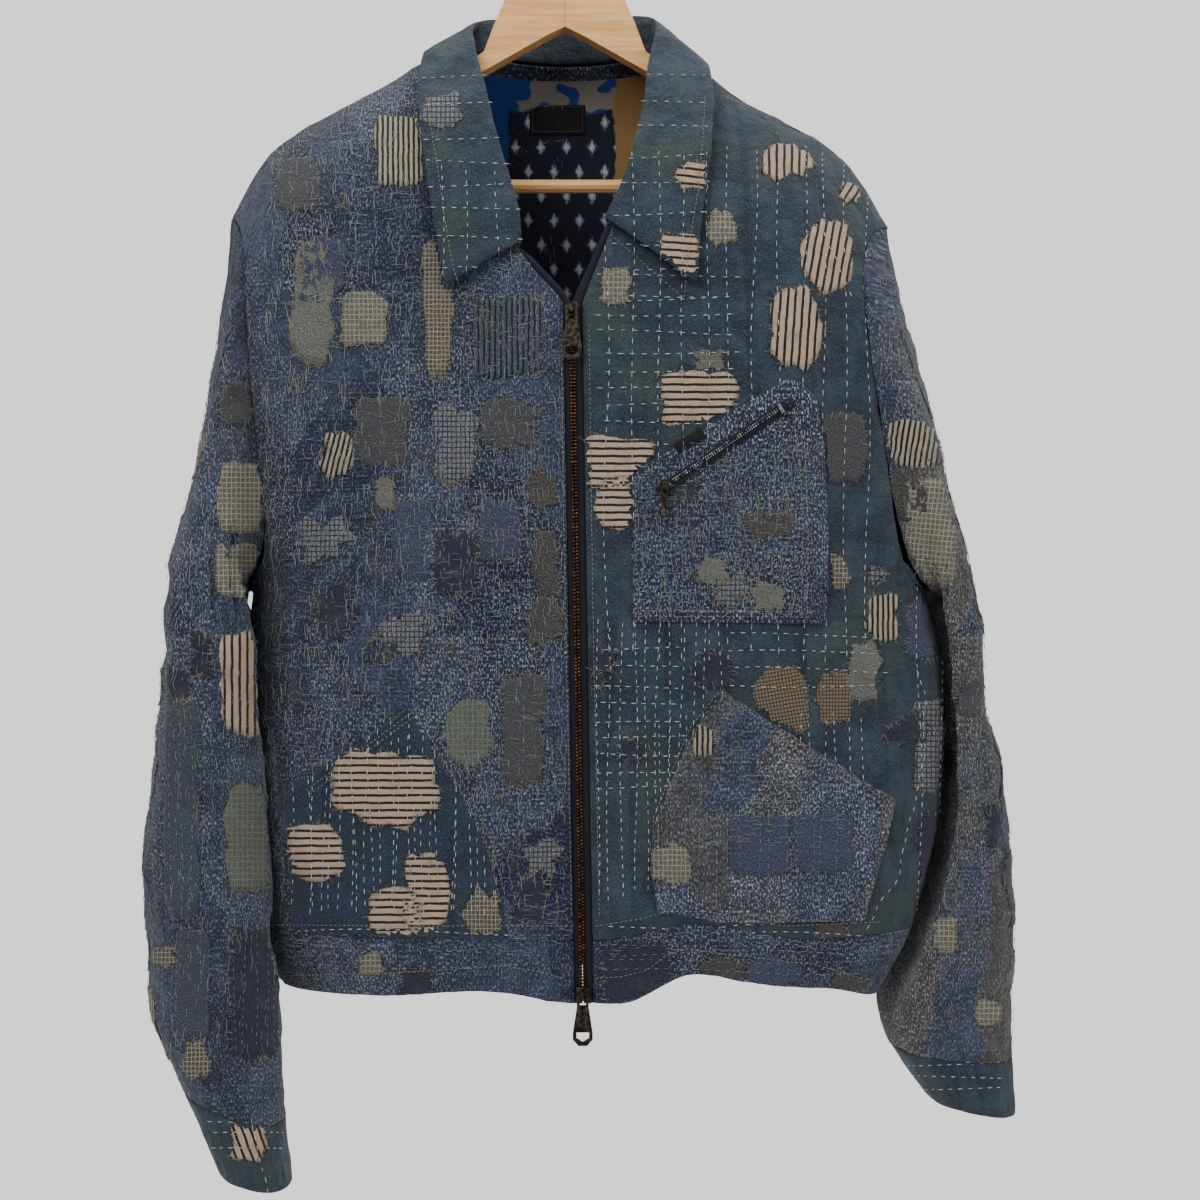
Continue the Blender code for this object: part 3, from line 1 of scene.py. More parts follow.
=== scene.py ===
"""Patched boro jacket on a wooden hanger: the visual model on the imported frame.

Lengths in the tables are millimetres as seen from the photograph's camera, at the hanger's plane,
and everything built is in metres. Each operator makes one kind of piece.
"""

import functools
import json
import math
import random

import bmesh
import bpy
import numpy as np
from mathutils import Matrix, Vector, noise
from mathutils.bvhtree import BVHTree

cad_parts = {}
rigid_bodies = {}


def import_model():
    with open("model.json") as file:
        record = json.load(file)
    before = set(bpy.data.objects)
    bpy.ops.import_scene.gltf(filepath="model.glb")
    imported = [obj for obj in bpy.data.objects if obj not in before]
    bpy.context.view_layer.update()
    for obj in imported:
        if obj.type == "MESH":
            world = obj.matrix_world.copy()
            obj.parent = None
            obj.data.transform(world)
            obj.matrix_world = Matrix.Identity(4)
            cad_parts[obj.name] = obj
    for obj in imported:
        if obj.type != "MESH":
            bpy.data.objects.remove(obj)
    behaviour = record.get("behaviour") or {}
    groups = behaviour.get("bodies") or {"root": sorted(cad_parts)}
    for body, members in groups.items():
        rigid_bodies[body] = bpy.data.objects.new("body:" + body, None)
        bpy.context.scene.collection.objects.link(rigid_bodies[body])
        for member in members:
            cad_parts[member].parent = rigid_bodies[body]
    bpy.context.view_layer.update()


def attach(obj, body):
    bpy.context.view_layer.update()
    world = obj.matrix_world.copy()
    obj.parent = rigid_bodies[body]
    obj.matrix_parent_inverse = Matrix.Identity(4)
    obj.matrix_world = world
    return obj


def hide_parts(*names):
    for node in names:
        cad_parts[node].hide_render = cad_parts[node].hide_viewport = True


bl_info = {
    "name": "Patched jacket on a hanger",
    "version": (1, 0, 0),
    "blender": (4, 5, 0),
    "location": "View3D > Sidebar > Jacket",
    "description": "Builds mended cloth, patches, stitches, zips and a hanger over a packed frame",
    "category": "Object",
}

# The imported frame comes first, with its box before anything is added
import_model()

MM = 0.001
CAMERA_PLACE = (0.02625, -1.236, -0.555)
CAMERA_FOV = 40.0


def table(names, *rows):
    """Rows as a list of dictionaries, one key for each named column."""
    return [dict(zip(names.split(), row)) for row in rows]


# Each cloth node with its material, the way its cloth runs, and the flat cut in metres
CLOTH = table(
    "node material run width length area smooth wave",
    ("front_right", "heather", "body", 0.31, 0.66, 0.155, 2, 1.0),
    ("front_left", "teal_cotton", "body", 0.29, 0.66, 0.140, 2, 1.0),
    ("back_panel", "heather", "body", 0.58, 0.66, 0.320, 2, 1.0),
    ("sleeve_right", "heather", "sleeve", 0.37, 0.62, 0.166, 2, 1.2),
    ("sleeve_left", "heather_tan", "sleeve", 0.37, 0.60, 0.160, 2, 1.2),
    ("cuff_right", "teal_cotton", "sleeve", 0.27, 0.055, 0.0112, 2, 0.6),
    ("cuff_left", "teal_cotton", "sleeve", 0.26, 0.050, 0.0100, 2, 0.6),
    ("collar", "collar_cotton", "body", 0.52, 0.12, 0.050, 2, 0.6),
    ("hem_band_right", "heather", "body", 0.27, 0.050, 0.0112, 2, 0.8),
    ("hem_band_left", "heather", "body", 0.25, 0.050, 0.0097, 2, 0.8),
    ("hem_band_back", "heather", "body", 0.52, 0.050, 0.0236, 2, 0.8),
    ("chest_pocket", "pocket_heather", "body", 0.14, 0.18, 0.0194, 2, 1.0),
    ("hand_pocket_right", "pocket_teal", "body", 0.17, 0.17, 0.0187, 2, 1.0),
    ("hand_pocket_left", "pocket_blue", "body", 0.18, 0.17, 0.0201, 2, 1.0),
    ("neck_lining", "kasuri", "flat", 0.25, 0.18, 0.0390, 2, 0.0),
    ("neck_label", "label_satin", "flat", 0.046, 0.025, 0.00105, 1, 0.0),
    ("pocket_tab", "label_satin", "flat", 0.024, 0.010, 0.00019, 1, 0.0),
    ("zip_tape_right", "tape_twill", "flat", 0.010, 0.56, 0.0030, 1, 0.0),
    ("zip_tape_left", "tape_twill", "flat", 0.010, 0.56, 0.0038, 1, 0.0),
    ("chest_zip_tape", "tape_twill", "flat", 0.010, 0.118, 0.00092, 1, 0.0),
)

# Soft creases pressed into the cloth: line ends, height and width, seen from the front
FRONT_CREASES = table(
    "x0 z0 x1 z1 height width",
    (-235, -300, -160, -345, -2.2, 9),
    (-228, -330, -150, -420, 1.8, 10),
    (-215, -470, -120, -520, -1.8, 9),
    (-222, -560, -140, -600, 2.0, 10),
    (-205, -640, -110, -632, -1.6, 8),
    (-60, -560, -20, -610, 1.6, 8),
    (-205, -700, -150, -772, 1.8, 9),
    (-100, -330, -60, -420, -1.4, 8),
    (40, -590, 150, -600, 1.8, 9),
    (60, -330, 110, -385, -1.6, 8),
    (190, -320, 226, -420, -2.2, 9),
    (180, -560, 240, -640, 2.2, 9),
    (210, -470, 180, -600, -2.0, 10),
    (228, -640, 236, -760, 2.0, 8),
    (40, -700, 55, -770, -1.6, 8),
    (120, -200, 200, -250, 1.6, 10),
    (-190, -215, -110, -190, 1.4, 9),
)
SLEEVE_CREASES = table(
    "x0 z0 x1 z1 height width",
    (-290, -585, -225, -615, -3.0, 8),
    (-292, -640, -228, -650, 2.6, 9),
    (-294, -700, -225, -688, -3.0, 8),
    (-294, -742, -222, -770, 2.4, 9),
    (-296, -800, -215, -790, -2.6, 8),
    (-290, -850, -212, -880, 2.4, 8),
    (-268, -450, -244, -520, -2.4, 8),
    (-280, -520, -240, -545, 2.4, 8),
    (262, -430, 300, -520, -2.4, 8),
    (268, -560, 312, -585, 2.6, 9),
    (262, -610, 316, -640, -3.0, 8),
    (258, -690, 322, -668, 2.6, 9),
    (252, -735, 326, -755, -2.8, 8),
    (250, -800, 328, -782, 2.4, 8),
    (250, -850, 328, -842, -2.4, 8),
)
BACK_CREASES = table(
    "x0 z0 x1 z1 height width",
    (-220, -320, -130, -360, -2.2, 10),
    (-190, -430, -90, -470, 1.8, 10),
    (-215, -560, -120, -610, -2.0, 9),
    (-170, -680, -60, -700, 1.8, 10),
    (215, -310, 140, -372, 2.2, 10),
    (205, -450, 100, -490, -1.8, 9),
    (225, -590, 130, -570, 2.0, 10),
    (180, -700, 70, -730, -2.0, 10),
    (-40, -250, 50, -262, 1.6, 9),
    (-30, -520, 60, -560, -1.6, 10),
)

# Patches and mended windows seen from the front: middle, size, roundness, the turn of its stripes
# in degrees and how ragged the edge is
FRONT_PATCHES = table(
    "kind x z width height round turn ragged",
    ("charcoal", -200, -244, 32, 40, 5, 0, 1),
    ("ticking", -124, -219, 36, 52, 6, 0, 1),
    ("olive", -190, -334, 32, 92, 3, 0, 1.5),
    ("tan_grid", -150, -344, 34, 41, 4, 0, 1.5),
    ("brown_grid", -95, -336, 20, 100, 6, 0, 1.5),
    ("teal_rib", -43, -357, 52, 58, 7, 0, 1.5),
    ("charcoal", -43, -422, 42, 38, 3, 0, 2),
    ("charcoal", -138, -429, 40, 52, 5, 0, 1.5),
    ("faded", -84, -440, 31, 54, 4, 0, 3),
    ("ticking", -171, -446, 23, 34, 4, -14, 1.5),
    ("olive", -135, -475, 14, 23, 6, 0, 1),
    ("navy", -82, -529, 33, 44, 7, 0, 1),
    ("brown", -17, -472, 22, 28, 3, 0, 2),
    ("brown", -14, -528, 19, 49, 6, 0, 2),
    ("brown", -16, -571, 29, 32, 3, 0, 2),
    ("navy", -170, -564, 32, 38, 5, 0, 2),
    ("navy", -137, -591, 23, 20, 3, 0, 3),
    ("green_grid", -72, -654, 34, 49, 4, 0, 1.5),
    ("charcoal", -32, -654, 32, 83, 7, 0, 1.5),
    ("faded", -16, -747, 23, 29, 3, 0, 3),
    ("navy", -27, -780, 24, 32, 4, 0, 2.5),
    ("faded", -182, -510, 34, 30, 3, 0, 4),
    ("indigo", -116, -510, 28, 60, 6, 0, 2),
    ("indigo", -49, -502, 30, 45, 5, 0, 2),
    ("faded", -122, -578, 34, 30, 3, 0, 4),
    ("indigo", -182, -308, 34, 45, 5, 0, 2),
    ("tan_grid", -145, -828, 17, 17, 5, 0, 1),
    ("navy", -111, -842, 22, 23, 6, 0, 1),
    ("window", -134, -695, 80, 56, 2.6, 90, 2.5),
    ("window", -188, -744, 46, 41, 3.4, 90, 2),
    ("window", -128, -790, 38, 38, 3.4, 90, 2),
    ("window", -104, -776, 33, 58, 4, 90, 2),
    ("brown_grid", -60, -790, 27, 32, 3, 0, 2),
    ("window", 165, -226, 36, 22, 3.6, 0, 2),
    ("window", 198, -297, 36, 55, 3, -10, 2),
    ("window", 172, -351, 40, 58, 2.6, -4, 2),
    ("window", 213, -250, 13, 14, 3, -30, 1.5),
    ("window", 101, -404, 58, 42, 4, 90, 2),
    ("window", 38, -452, 56, 40, 4, 90, 2),
    ("window", 38, -483, 28, 36, 4, 90, 2),
    ("tan_grid", 37, -320, 22, 28, 3, 0, 2),
    ("tan_grid", 117, -275, 19, 27, 3, 0, 2),
    ("green_grid", 107, -375, 21, 14, 3, 0, 2),
    ("charcoal", 209, -441, 33, 52, 5, 0, 1),
    ("brown_grid", 206, -534, 16, 26, 3, 0, 2),
    ("faded", 233, -536, 8, 12, 3, 0, 2),
    ("ticking", 239, -569, 23, 35, 4, 0, 1.5),
    ("navy", 24, -603, 26, 17, 3, 0, 3),
    ("navy", 21, -616, 14, 14, 3, 0, 2),
    ("navy", 111, -608, 28, 28, 3.4, 0, 2.5),
    ("navy", 50, -668, 19, 16, 2.4, 0, 2),
    ("navy", 258, -653, 36, 24, 2.6, 0, 3),
    ("navy", 274, -739, 19, 46, 4, 0, 2),
    ("burlap", 162, -633, 42, 55, 2.6, 10, 2),
    ("burlap", 201, -628, 26, 37, 2.6, 0, 2),
    ("olive", 223, -608, 24, 45, 3, 0, 2),
    ("navy", 54, -836, 51, 50, 6, 0, 1),
    ("brown", 117, -833, 32, 20, 5, 0, 2),
    ("indigo", 156, -838, 40, 28, 5, 0, 2),
    ("brown", 213, -843, 28, 14, 5, 0, 1.5),
    ("indigo", 146, -739, 46, 46, 6, 0, 1),
    ("indigo", 193, -737, 46, 44, 6, 0, 1),
    ("tan_grid", 81, -753, 28, 28, 4, 0, 1.5),
    ("brown", 201, -802, 23, 14, 5, 0, 1.5),
    ("ticking", 104, -661, 17, 23, 4, 0, 1),
    ("navy", 87, -470, 20, 20, 5, 0, 2),
    ("brown", 152, -498, 36, 20, 5, 8, 1.5),
    ("olive", 110, -533, 21, 17, 5, 0, 1.5),
    ("faded", 125, -547, 23, 19, 4, 0, 3),
    ("olive", 153, -552, 23, 22, 5, 0, 1.5),
    ("faded", -92, -189, 26, 26, 4, 0, 3),
    ("window", 95, -237, 22, 19, 4, 84, 1.5),
    ("window", 86, -298, 28, 36, 4, 86, 1.5),
    ("charcoal", -247, -408, 23, 32, 5, 0, 1),
    ("tan_grid", -243, -478, 34, 52, 7, 0, 1),
    ("tan_grid", -242, -532, 38, 39, 7, 0, 1),
    ("navy", -273, -597, 17, 37, 5, 0, 2),
    ("navy", -289, -620, 17, 26, 5, 0, 2),
    ("window", -238, -618, 40, 75, 7, 0, 1.5),
    ("green_grid", -234, -733, 40, 80, 7, 0, 1.5),
    ("teal", -287, -712, 26, 164, 8, 0, 1),
    ("teal", -279, -843, 26, 83, 7, 0, 1),
    ("navy", -230, -850, 42, 98, 8, 0, 1),
    ("brown_grid", -276, -900, 20, 27, 4, 0, 2),
    ("brown_grid", -301, -822, 16, 17, 4, 0, 1.5),
    ("window", -238, -961, 26, 29, 4, 20, 1.5),
    ("ticking", 261, -438, 42, 34, 6, -8, 1),
    ("tan_grid", 274, -505, 38, 83, 7, -6, 1),
    ("charcoal", 303, -628, 20, 29, 5, 0, 1),
    ("navy", 321, -724, 11, 34, 5, 0, 1),
    ("tan_grid", 285, -806, 17, 26, 5, 0, 1),
    ("tan_grid", 318, -864, 19, 20, 5, 0, 1),
    ("indigo", 270, -578, 30, 45, 6, 0, 1.5),
    ("faded", 278, -664, 30, 68, 5, 0, 3),
    ("brown", 257, -476, 26, 38, 4, 0, 2),
)

# Loose patch layouts for the sides that the photograph doesn't show: a region and its cell
HIDDEN_PATCHES = table(
    "view x0 z0 x1 z1 cell share",
    ("back", -215, -770, 235, -215, 74, 0.72),
    ("back", -75, -172, 75, -120, 40, 0.5),
    ("left", -60, -860, 75, -360, 58, 0.62),
    ("right", -95, -880, 40, -360, 58, 0.62),
    ("back", -290, -880, -235, -420, 60, 0.5),
    ("back", 265, -850, 325, -420, 60, 0.5),
)
HIDDEN_KINDS = ("charcoal", "window", "tan_grid", "navy", "olive", "indigo", "faded", "brown", "ticking",
                "green_grid", "teal", "brown_grid", "indigo", "faded", "charcoal", "navy")

# Fields of running stitches: a region, the space between lines, the stitch pitch and the way
# the lines run, 0 along x and 90 up
STITCH_FIELDS = table(
    "view x0 z0 x1 z1 space pitch turn",
    ("front", 24, -600, 232, -215, 17, 8.0, 90),
    ("front", 24, -470, 130, -300, 14, 8.0, 0),
    ("front", 24, -780, 120, -570, 9, 6.5, 90),
    ("front", 24, -700, 90, -590, 13, 7.0, 0),
    ("front", 120, -620, 240, -575, 12, 7.0, 0),
    ("front", 66, -790, 225, -640, 10, 6.0, 90),
    ("front", 50, -568, 184, -470, 14, 7.0, 0),
    ("front", -195, -790, -45, -650, 11, 8.0, 90),
    ("front", -210, -620, -20, -230, 21, 7.0, 90),
    ("front", -210, -790, -20, -620, 15, 7.0, 90),
    ("front", -200, -520, -30, -300, 38, 7.0, 0),
    ("front", 30, -835, 225, -795, 6.5, 7.0, 0),
    ("front", -210, -832, -15, -797, 9, 7.0, 0),
    ("front", -112, -335, -24, -150, 21, 7.5, 0),
    ("front", 34, -335, 112, -160, 21, 7.5, 0),
    ("front", -296, -845, -270, -640, 8, 7.0, 90),
    ("front", -250, -895, -212, -800, 8, 6.0, 90),
    ("front", -292, -620, -220, -400, 17, 7.0, 90),
    ("front", 262, -860, 330, -420, 17, 7.0, 90),
    ("front", 248, -925, 332, -885, 9, 7.0, 0),
    ("front", -268, -972, -196, -905, 10, 7.0, 0),
    ("back", -240, -785, 255, -220, 17, 8.0, 90),
    ("back", -220, -700, 230, -260, 62, 8.0, 0),
    ("back", -230, -835, 240, -797, 9, 7.0, 0),
    ("back", -100, -175, 100, -105, 17, 7.5, 0),
    ("left", -70, -890, 90, -330, 19, 7.5, 90),
    ("right", -105, -900, 50, -330, 19, 7.5, 90),
    ("back", -296, -880, -245, -420, 17, 7.5, 90),
    ("back", 262, -870, 328, -420, 17, 7.5, 90),
)

# Topstitched seams as paths seen from the front: x and z in turn
SEAMS = {
    "chest_edge": ((53, -567), (181, -568), (182, -502), (180, -452), (174, -415), (165, -405)),
    "chest_inner": ((57, -563), (177, -564), (178, -502), (176, -452), (171, -420)),
    "chest_side": ((53, -470), (53, -567)),
    "pocket_right_edge": ((-193, -697), (-110, -636), (-79, -686), (-57, -728), (-45, -776)),
    "pocket_right_inner": ((-190, -700), (-111, -641), (-83, -688), (-61, -729), (-49, -776)),
    "pocket_left_edge": ((231, -699), (115, -624), (94, -650), (79, -686), (66, -718), (65, -744),
                         (71, -780)),
    "pocket_left_inner": ((228, -702), (116, -629), (98, -652), (83, -687), (70, -719), (69, -744),
                          (75, -778)),
    "zip_right": ((-3, -350), (-1, -500), (2, -650), (5, -790)),
    "zip_left": ((18, -350), (20, -500), (23, -650), (26, -790)),
    "band_right": ((-225, -798), (-120, -799), (-20, -799), (5, -799)),
    "band_left": ((24, -799), (55, -794), (78, -788), (105, -788), (165, -799), (235, -796)),
    "hem_right": ((-214, -836), (-126, -834), (-46, -829), (-19, -833), (-2, -838)),
    "hem_left": ((24, -838), (42, -837), (61, -832), (75, -821), (91, -816), (120, -820), (188, -828),
                 (222, -838)),
    "collar_right": ((-33, -296), (-76, -330), (-83, -308), (-88, -283), (-93, -246), (-99, -208),
                     (-104, -176)),
    "collar_left": ((35, -282), (89, -329), (93, -288), (99, -252), (103, -212), (105, -178)),
}

# Colours as seen in plain light
HEX = {
    "blue_slate": "212d44", "indigo": "16203e", "deep_indigo": "0d1325", "grey_blue": "343f56",
    "grey_tan": "4e4943", "fleck": "b0b1ae", "teal": "1e2a35", "teal_light": "2d3c46",
    "teal_green": "36413a", "navy": "0f162a", "charcoal": "28292d", "brown": "241f1d",
    "olive": "44443a", "olive_light": "6b6755", "window_tan": "a48c75", "window_dark": "161314",
    "cream": "8f866f", "stitch": "c2c5c0", "burlap": "705f48", "burlap_dark": "342c23",
    "wood": "ecb878", "wood_dark": "c98f4e", "lining": "131626", "splash": "9ba1aa",
    "cloud_blue": "173673", "lining_grey": "736e68", "camel": "81623b", "tape": "111420",
    "teeth": "85502f", "teeth_dark": "33211a", "tab": "51483f", "silver": "b4b4b2", "steel": "cfd0d2",
    "black": "0b0b0d", "floor": "fafafa", "label_thread": "6d6a62", "thread_dim": "7f868c",
}


# Small helpers

def linear(code):
    """A linear colour from its sRGB hex code."""
    parts = [int(code[index:index + 2], 16) / 255 for index in (0, 2, 4)]
    bent = [part / 12.92 if part <= 0.04045 else ((part + 0.055) / 1.055) ** 2.4 for part in parts]
    return (*bent, 1.0)


def colour(name):
    """A named colour, from the settings where a user can change it there."""
    chosen = getattr(bpy.context.scene.jacket, name, None)
    return linear(HEX[name]) if chosen is None else tuple(chosen)


def new_object(name, mesh):
    """A linked object with a mesh."""
    made = bpy.data.objects.new(name, mesh)
    bpy.context.scene.collection.objects.link(made)
    return made


def mesh_object(name, bm, finishes):
    """A linked object from a finished bmesh, with its materials."""
    mesh = bpy.data.meshes.new(name)
    bm.to_mesh(mesh)
    bm.free()
    for finish in finishes:
        mesh.materials.append(finish)
    return new_object(name, mesh)


def mesh_points(mesh):
    """A mesh's points in millimetres."""
    return np.array([vert.co for vert in mesh.vertices]) * 1000.0


def move_points(mesh, points):
    """Put a mesh's points at places in millimetres."""
    for vert, place in zip(mesh.vertices, points):
        vert.co = place * MM


# Shader and geometry nodes

# The sockets that a node's values fill in turn, the socket that is read, and its usual settings
NODE_USE = {
    "Mix": ((0, 6, 7), 2, {"data_type": "RGBA"}),
    "MapRange": ((0, 1, 2), 0, {"interpolation_type": "SMOOTHSTEP"}),
    "Mapping": ((0, 3), 0, {}),
    "TexNoise": ((0, 2, 3, 4, 8), 0, {}),
    "TexVoronoi": ((0, 2), 1, {"voronoi_dimensions": "2D", "distance": "CHEBYCHEV"}),
    "TexCoord": ((), "Object", {}),
    "Bump": (("Strength", "Distance", "Height"), 0, {}),
    "GeometryNodeResampleCurve": (("Curve", "Length"), 0, {"mode": "LENGTH"}),
    "GeometryNodeMeshUVSphere": (("Segments", "Rings", "Radius"), 0, {}),
    "GeometryNodeInstanceOnPoints": (("Points", "Instance", "Rotation", "Scale"), 0, {}),
    "GeometryNodeSetMaterial": (("Geometry", "Material"), 0, {}),
    "FunctionNodeAlignRotationToVector": (("Vector",), 0, {"axis": "X"}),
    "FunctionNodeRandomValue": ((0, 1, "Seed"), 0, {"data_type": "FLOAT_VECTOR"}),
}


def set_stops(points, stops):
    """Fill a colour ramp from stops of a position and a colour's name or a grey."""
    while len(points) < len(stops):
        points.new(0.5)
    for point, (position, shade) in zip(points, stops):
        point.position = position
        point.color = colour(shade) if isinstance(shade, str) else (shade, shade, shade, 1.0)


def fill(tree, socket, value):
    """Link a socket to another one, or give it a value."""
    if isinstance(value, bpy.types.NodeSocket):
        tree.links.new(value, socket)
    else:
        socket.default_value = value


def node(tree, kind, *values, **settings):
    """Add a node with its settings and links, and give the socket that is read from it."""
    kind, _, operation = kind.partition(" ")
    sockets, output, usual = NODE_USE.get(kind, ((0, 1), 0, {}))
    made = tree.nodes.new(kind if "Node" in kind else "ShaderNode" + kind)
    if operation:
        made.operation = operation
    for key, value in {**usual, **settings}.items():
        if key == "stops":
            set_stops(made.color_ramp.elements, value)
        else:
            setattr(made, key, value)
    for socket, value in zip(sockets, values):
        fill(tree, made.inputs[socket], value)
    return made.outputs[output]


def cloth_coords(put):
    """The cloth's own coordinates in millimetres, across and along."""
    place = put("Mapping", put("UVMap", uv_map="cloth"), (1000.0, 1000.0, 1.0))
    parts = put("SeparateXYZ", place).node.outputs
    return place, parts[0], parts[1]


def speckle(put, place, size, stretch=(1.0, 1.0), detail=2.0):
    """Noise of a grain size in millimetres, longer one way where it is stretched."""
    scaled = put("Mapping", place, (1 / (size * stretch[0]), 1 / (size * stretch[1]), 1.0))
    return put("TexNoise", scaled, 1.0, detail, 0.6)


def ribs(put, across, pitch, sway=0.0):
    """Rounded ribs, 0 in the gap and 1 on top, at a pitch in millimetres."""
    moved = put("Math ADD", across, sway) if sway else across
    return put("Math ABSOLUTE", put("Math SINE", put("Math MULTIPLY", moved, math.pi / pitch)))


def wave_sum(put, first, first_share, second, second_share):
    """Two heights added up, each at its own strength."""
    first = put("Math MULTIPLY", first, first_share)
    return put("Math ADD", first, put("Math MULTIPLY", second, second_share))


def finish_shader(made, base, height, rough=0.92, lift=0.5, sheen=0.12, metallic=0.0):
    """Plug a colour and a height in millimetres into the Principled shader."""
    tree = made.node_tree
    looks = {
        "Base Color": base,
        "Normal": node(tree, "Bump", 0.9, lift * MM, height),
        "Roughness": rough,
        "Metallic": metallic,
        "Sheen Weight": sheen,
        "Specular IOR Level": 0.25,
    }
    for socket, value in looks.items():
        fill(tree, tree.nodes["Principled BSDF"].inputs[socket], value)
    return made


def new_material(name):
    """An empty Principled material, and the function that adds a node to it."""
    made = bpy.data.materials.new(name)
    made.use_nodes = True
    return made, functools.partial(node, made.node_tree)


def heather_material(name, tones, fleck=0.55, tan=0.35):
    """Layered mended cotton: zones of tint, bright flecks, fine darned rows with painted shade in their gaps
    and painted light on their tops, and tan wear.
    """
    made, put = new_material(name)
    place, across, along = cloth_coords(put)
    sway = speckle(put, place, 35.0)
    bend = put("CombineXYZ", put("Math MULTIPLY", sway, 26.0), put("Math MULTIPLY", sway, 20.0))
    bent = put("Mapping", put("VectorMath ADD", place, bend), (1 / 58, 1 / 74, 1.0))
    zone = put("SeparateColor", put("TexVoronoi", bent, 1.0)).node.outputs
    tone = wave_sum(put, zone[0], 0.62, speckle(put, place, 60.0, detail=3.0), 0.45)
    stops = [(index / (len(tones) - 1), shade) for index, shade in enumerate(tones)]
    base = put("ValToRGB", tone, stops=stops)
    wear = put("MapRange", speckle(put, place, 24.0, (1.0, 1.5), 4.0), 0.53, 0.70)
    base = put("Mix", put("Math MULTIPLY", wear, tan), base, colour("grey_tan"))
    rows = ribs(put, across, 2.4, put("Math MULTIPLY", speckle(put, place, 9.0), 2.2))
    floats = ribs(put, along, 3.1, put("Math MULTIPLY", speckle(put, place, 7.0), 2.2))
    grain = put("Mix", put("MapRange", zone[2], 0.62, 0.66), rows, floats)
    dots = speckle(put, place, 1.5, (0.75, 1.6), 3.0)
    light = put("MapRange", dots, 0.53, 0.63)
    strong = put("Math MULTIPLY", put("Math ADD", zone[1], 0.35), fleck)
    base = put("Mix", put("Math MULTIPLY", light, strong), base, colour("fleck"))
    dark = put("MapRange", dots, 0.46, 0.34)
    base = put("Mix", put("Math MULTIPLY", dark, 0.75), base, colour("deep_indigo"))
    shade = put("ValToRGB", speckle(put, place, 15.0, (1.0, 1.3), 4.0), stops=((0.36, 0.42), (0.62, 1.0)))
    base = put("Mix", 0.75, base, shade, blend_type="MULTIPLY")
    # Painted shade and painted light on the darned rows: darker in the gaps between them, lighter on their
    # tops, by the same grain that the bump raises
    rib_shading = put("Mix", grain, (0.42, 0.42, 0.46, 1.0), (1.15, 1.15, 1.12, 1.0))
    base = put("Mix", 0.42, base, rib_shading, blend_type="MULTIPLY")
    height = wave_sum(put, grain, 0.30, dots, 0.55)
    pucker = speckle(put, place, 8.0, (1.0, 1.4), 3.0)
    height = put("Math ADD", height, put("Math MULTIPLY", pucker, 5.0))
    return finish_shader(made, base, height, lift=1.0)


def cotton_material(name, base_tone, light_tone, worn_tone, worn=0.5, band="deep_indigo"):
    """Plain mended cotton: mottled dye, faded green-grey areas, blue bands and a fine weave with painted
    shade in its gaps.
    """
    made, put = new_material(name)
    place, across, along = cloth_coords(put)
    mottle = put("MapRange", speckle(put, place, 26.0, detail=5.0), 0.38, 0.66)
    base = put("Mix", mottle, colour(base_tone), colour(light_tone))
    fade = put("MapRange", speckle(put, place, 70.0, (1.0, 1.3), 3.0), 0.50, 0.66)
    base = put("Mix", put("Math MULTIPLY", fade, worn), base, colour(worn_tone))
    stripe = put("MapRange", speckle(put, place, 30.0, (0.5, 8.0), 2.0), 0.56, 0.66)
    base = put("Mix", put("Math MULTIPLY", stripe, 0.45), base, colour(band))
    bars = put("MapRange", speckle(put, place, 34.0, (8.0, 0.5), 2.0), 0.58, 0.68)
    base = put("Mix", put("Math MULTIPLY", bars, 0.35), base, colour(band))
    dust = put("MapRange", speckle(put, place, 0.9, detail=2.0), 0.56, 0.72)
    base = put("Mix", put("Math MULTIPLY", dust, 0.30), base, colour("fleck"))
    weave = put("Math ADD", ribs(put, across, 0.9), ribs(put, along, 0.9))
    # Painted shade: the colour goes darker in the gaps of the weave, where the threads dip
    shade = put("ValToRGB", put("Math MULTIPLY", weave, 0.5), stops=((0.2, 0.55), (0.8, 1.0)))
    base = put("Mix", 0.30, base, shade, blend_type="MULTIPLY")
    height = wave_sum(put, weave, 0.10, speckle(put, place, 11.0, (1.0, 1.0), 4.0), 5.5)
    return finish_shader(made, base, height, lift=0.8)


def patch_material(name, ground, second=None, pattern="plain", pitch=3.0, line=0.3, grain=0.5):
    """A patch's own cloth: plain, checked by fine lines, striped or basket woven."""
    made, put = new_material(name)
    place, across, along = cloth_coords(put)
    sway = put("Math MULTIPLY", speckle(put, place, 12.0), 1.6)
    dots = speckle(put, place, 1.0, (0.8, 1.3), 2.0)
    spots = put("Math MULTIPLY", put("MapRange", dots, 0.40, 0.68), grain)
    base = put("Mix", spots, colour(ground), put("Mix", 0.55, colour(ground), colour("fleck")))
    height = put("Math MULTIPLY", dots, 0.3)
    if pattern != "plain":
        mark = put("MapRange", ribs(put, across, pitch, sway), line, line + 0.16)
        if pattern != "stripes":
            over = put("MapRange", ribs(put, along, pitch * 1.15, sway), line, line + 0.16)
            mark = put("Math MINIMUM" if pattern == "checks" else "Math MULTIPLY", mark, over)
        base = put("Mix", mark, colour(second), base)
        height = put("Math ADD", height, put("Math MULTIPLY", mark, 0.45))
    fade = put("MapRange", speckle(put, place, 16.0, detail=4.0), 0.50, 0.72)
    base = put("Mix", put("Math MULTIPLY", fade, 0.35), base, colour("grey_tan"))
    fine = put("Math ADD", ribs(put, across, 1.1), ribs(put, along, 1.1))
    height = put("Math ADD", height, put("Math MULTIPLY", fine, 0.12))
    pucker = speckle(put, place, 9.0, detail=3.0)
    height = put("Math ADD", height, put("Math MULTIPLY", pucker, 1.8))
    return finish_shader(made, base, height, lift=0.8)


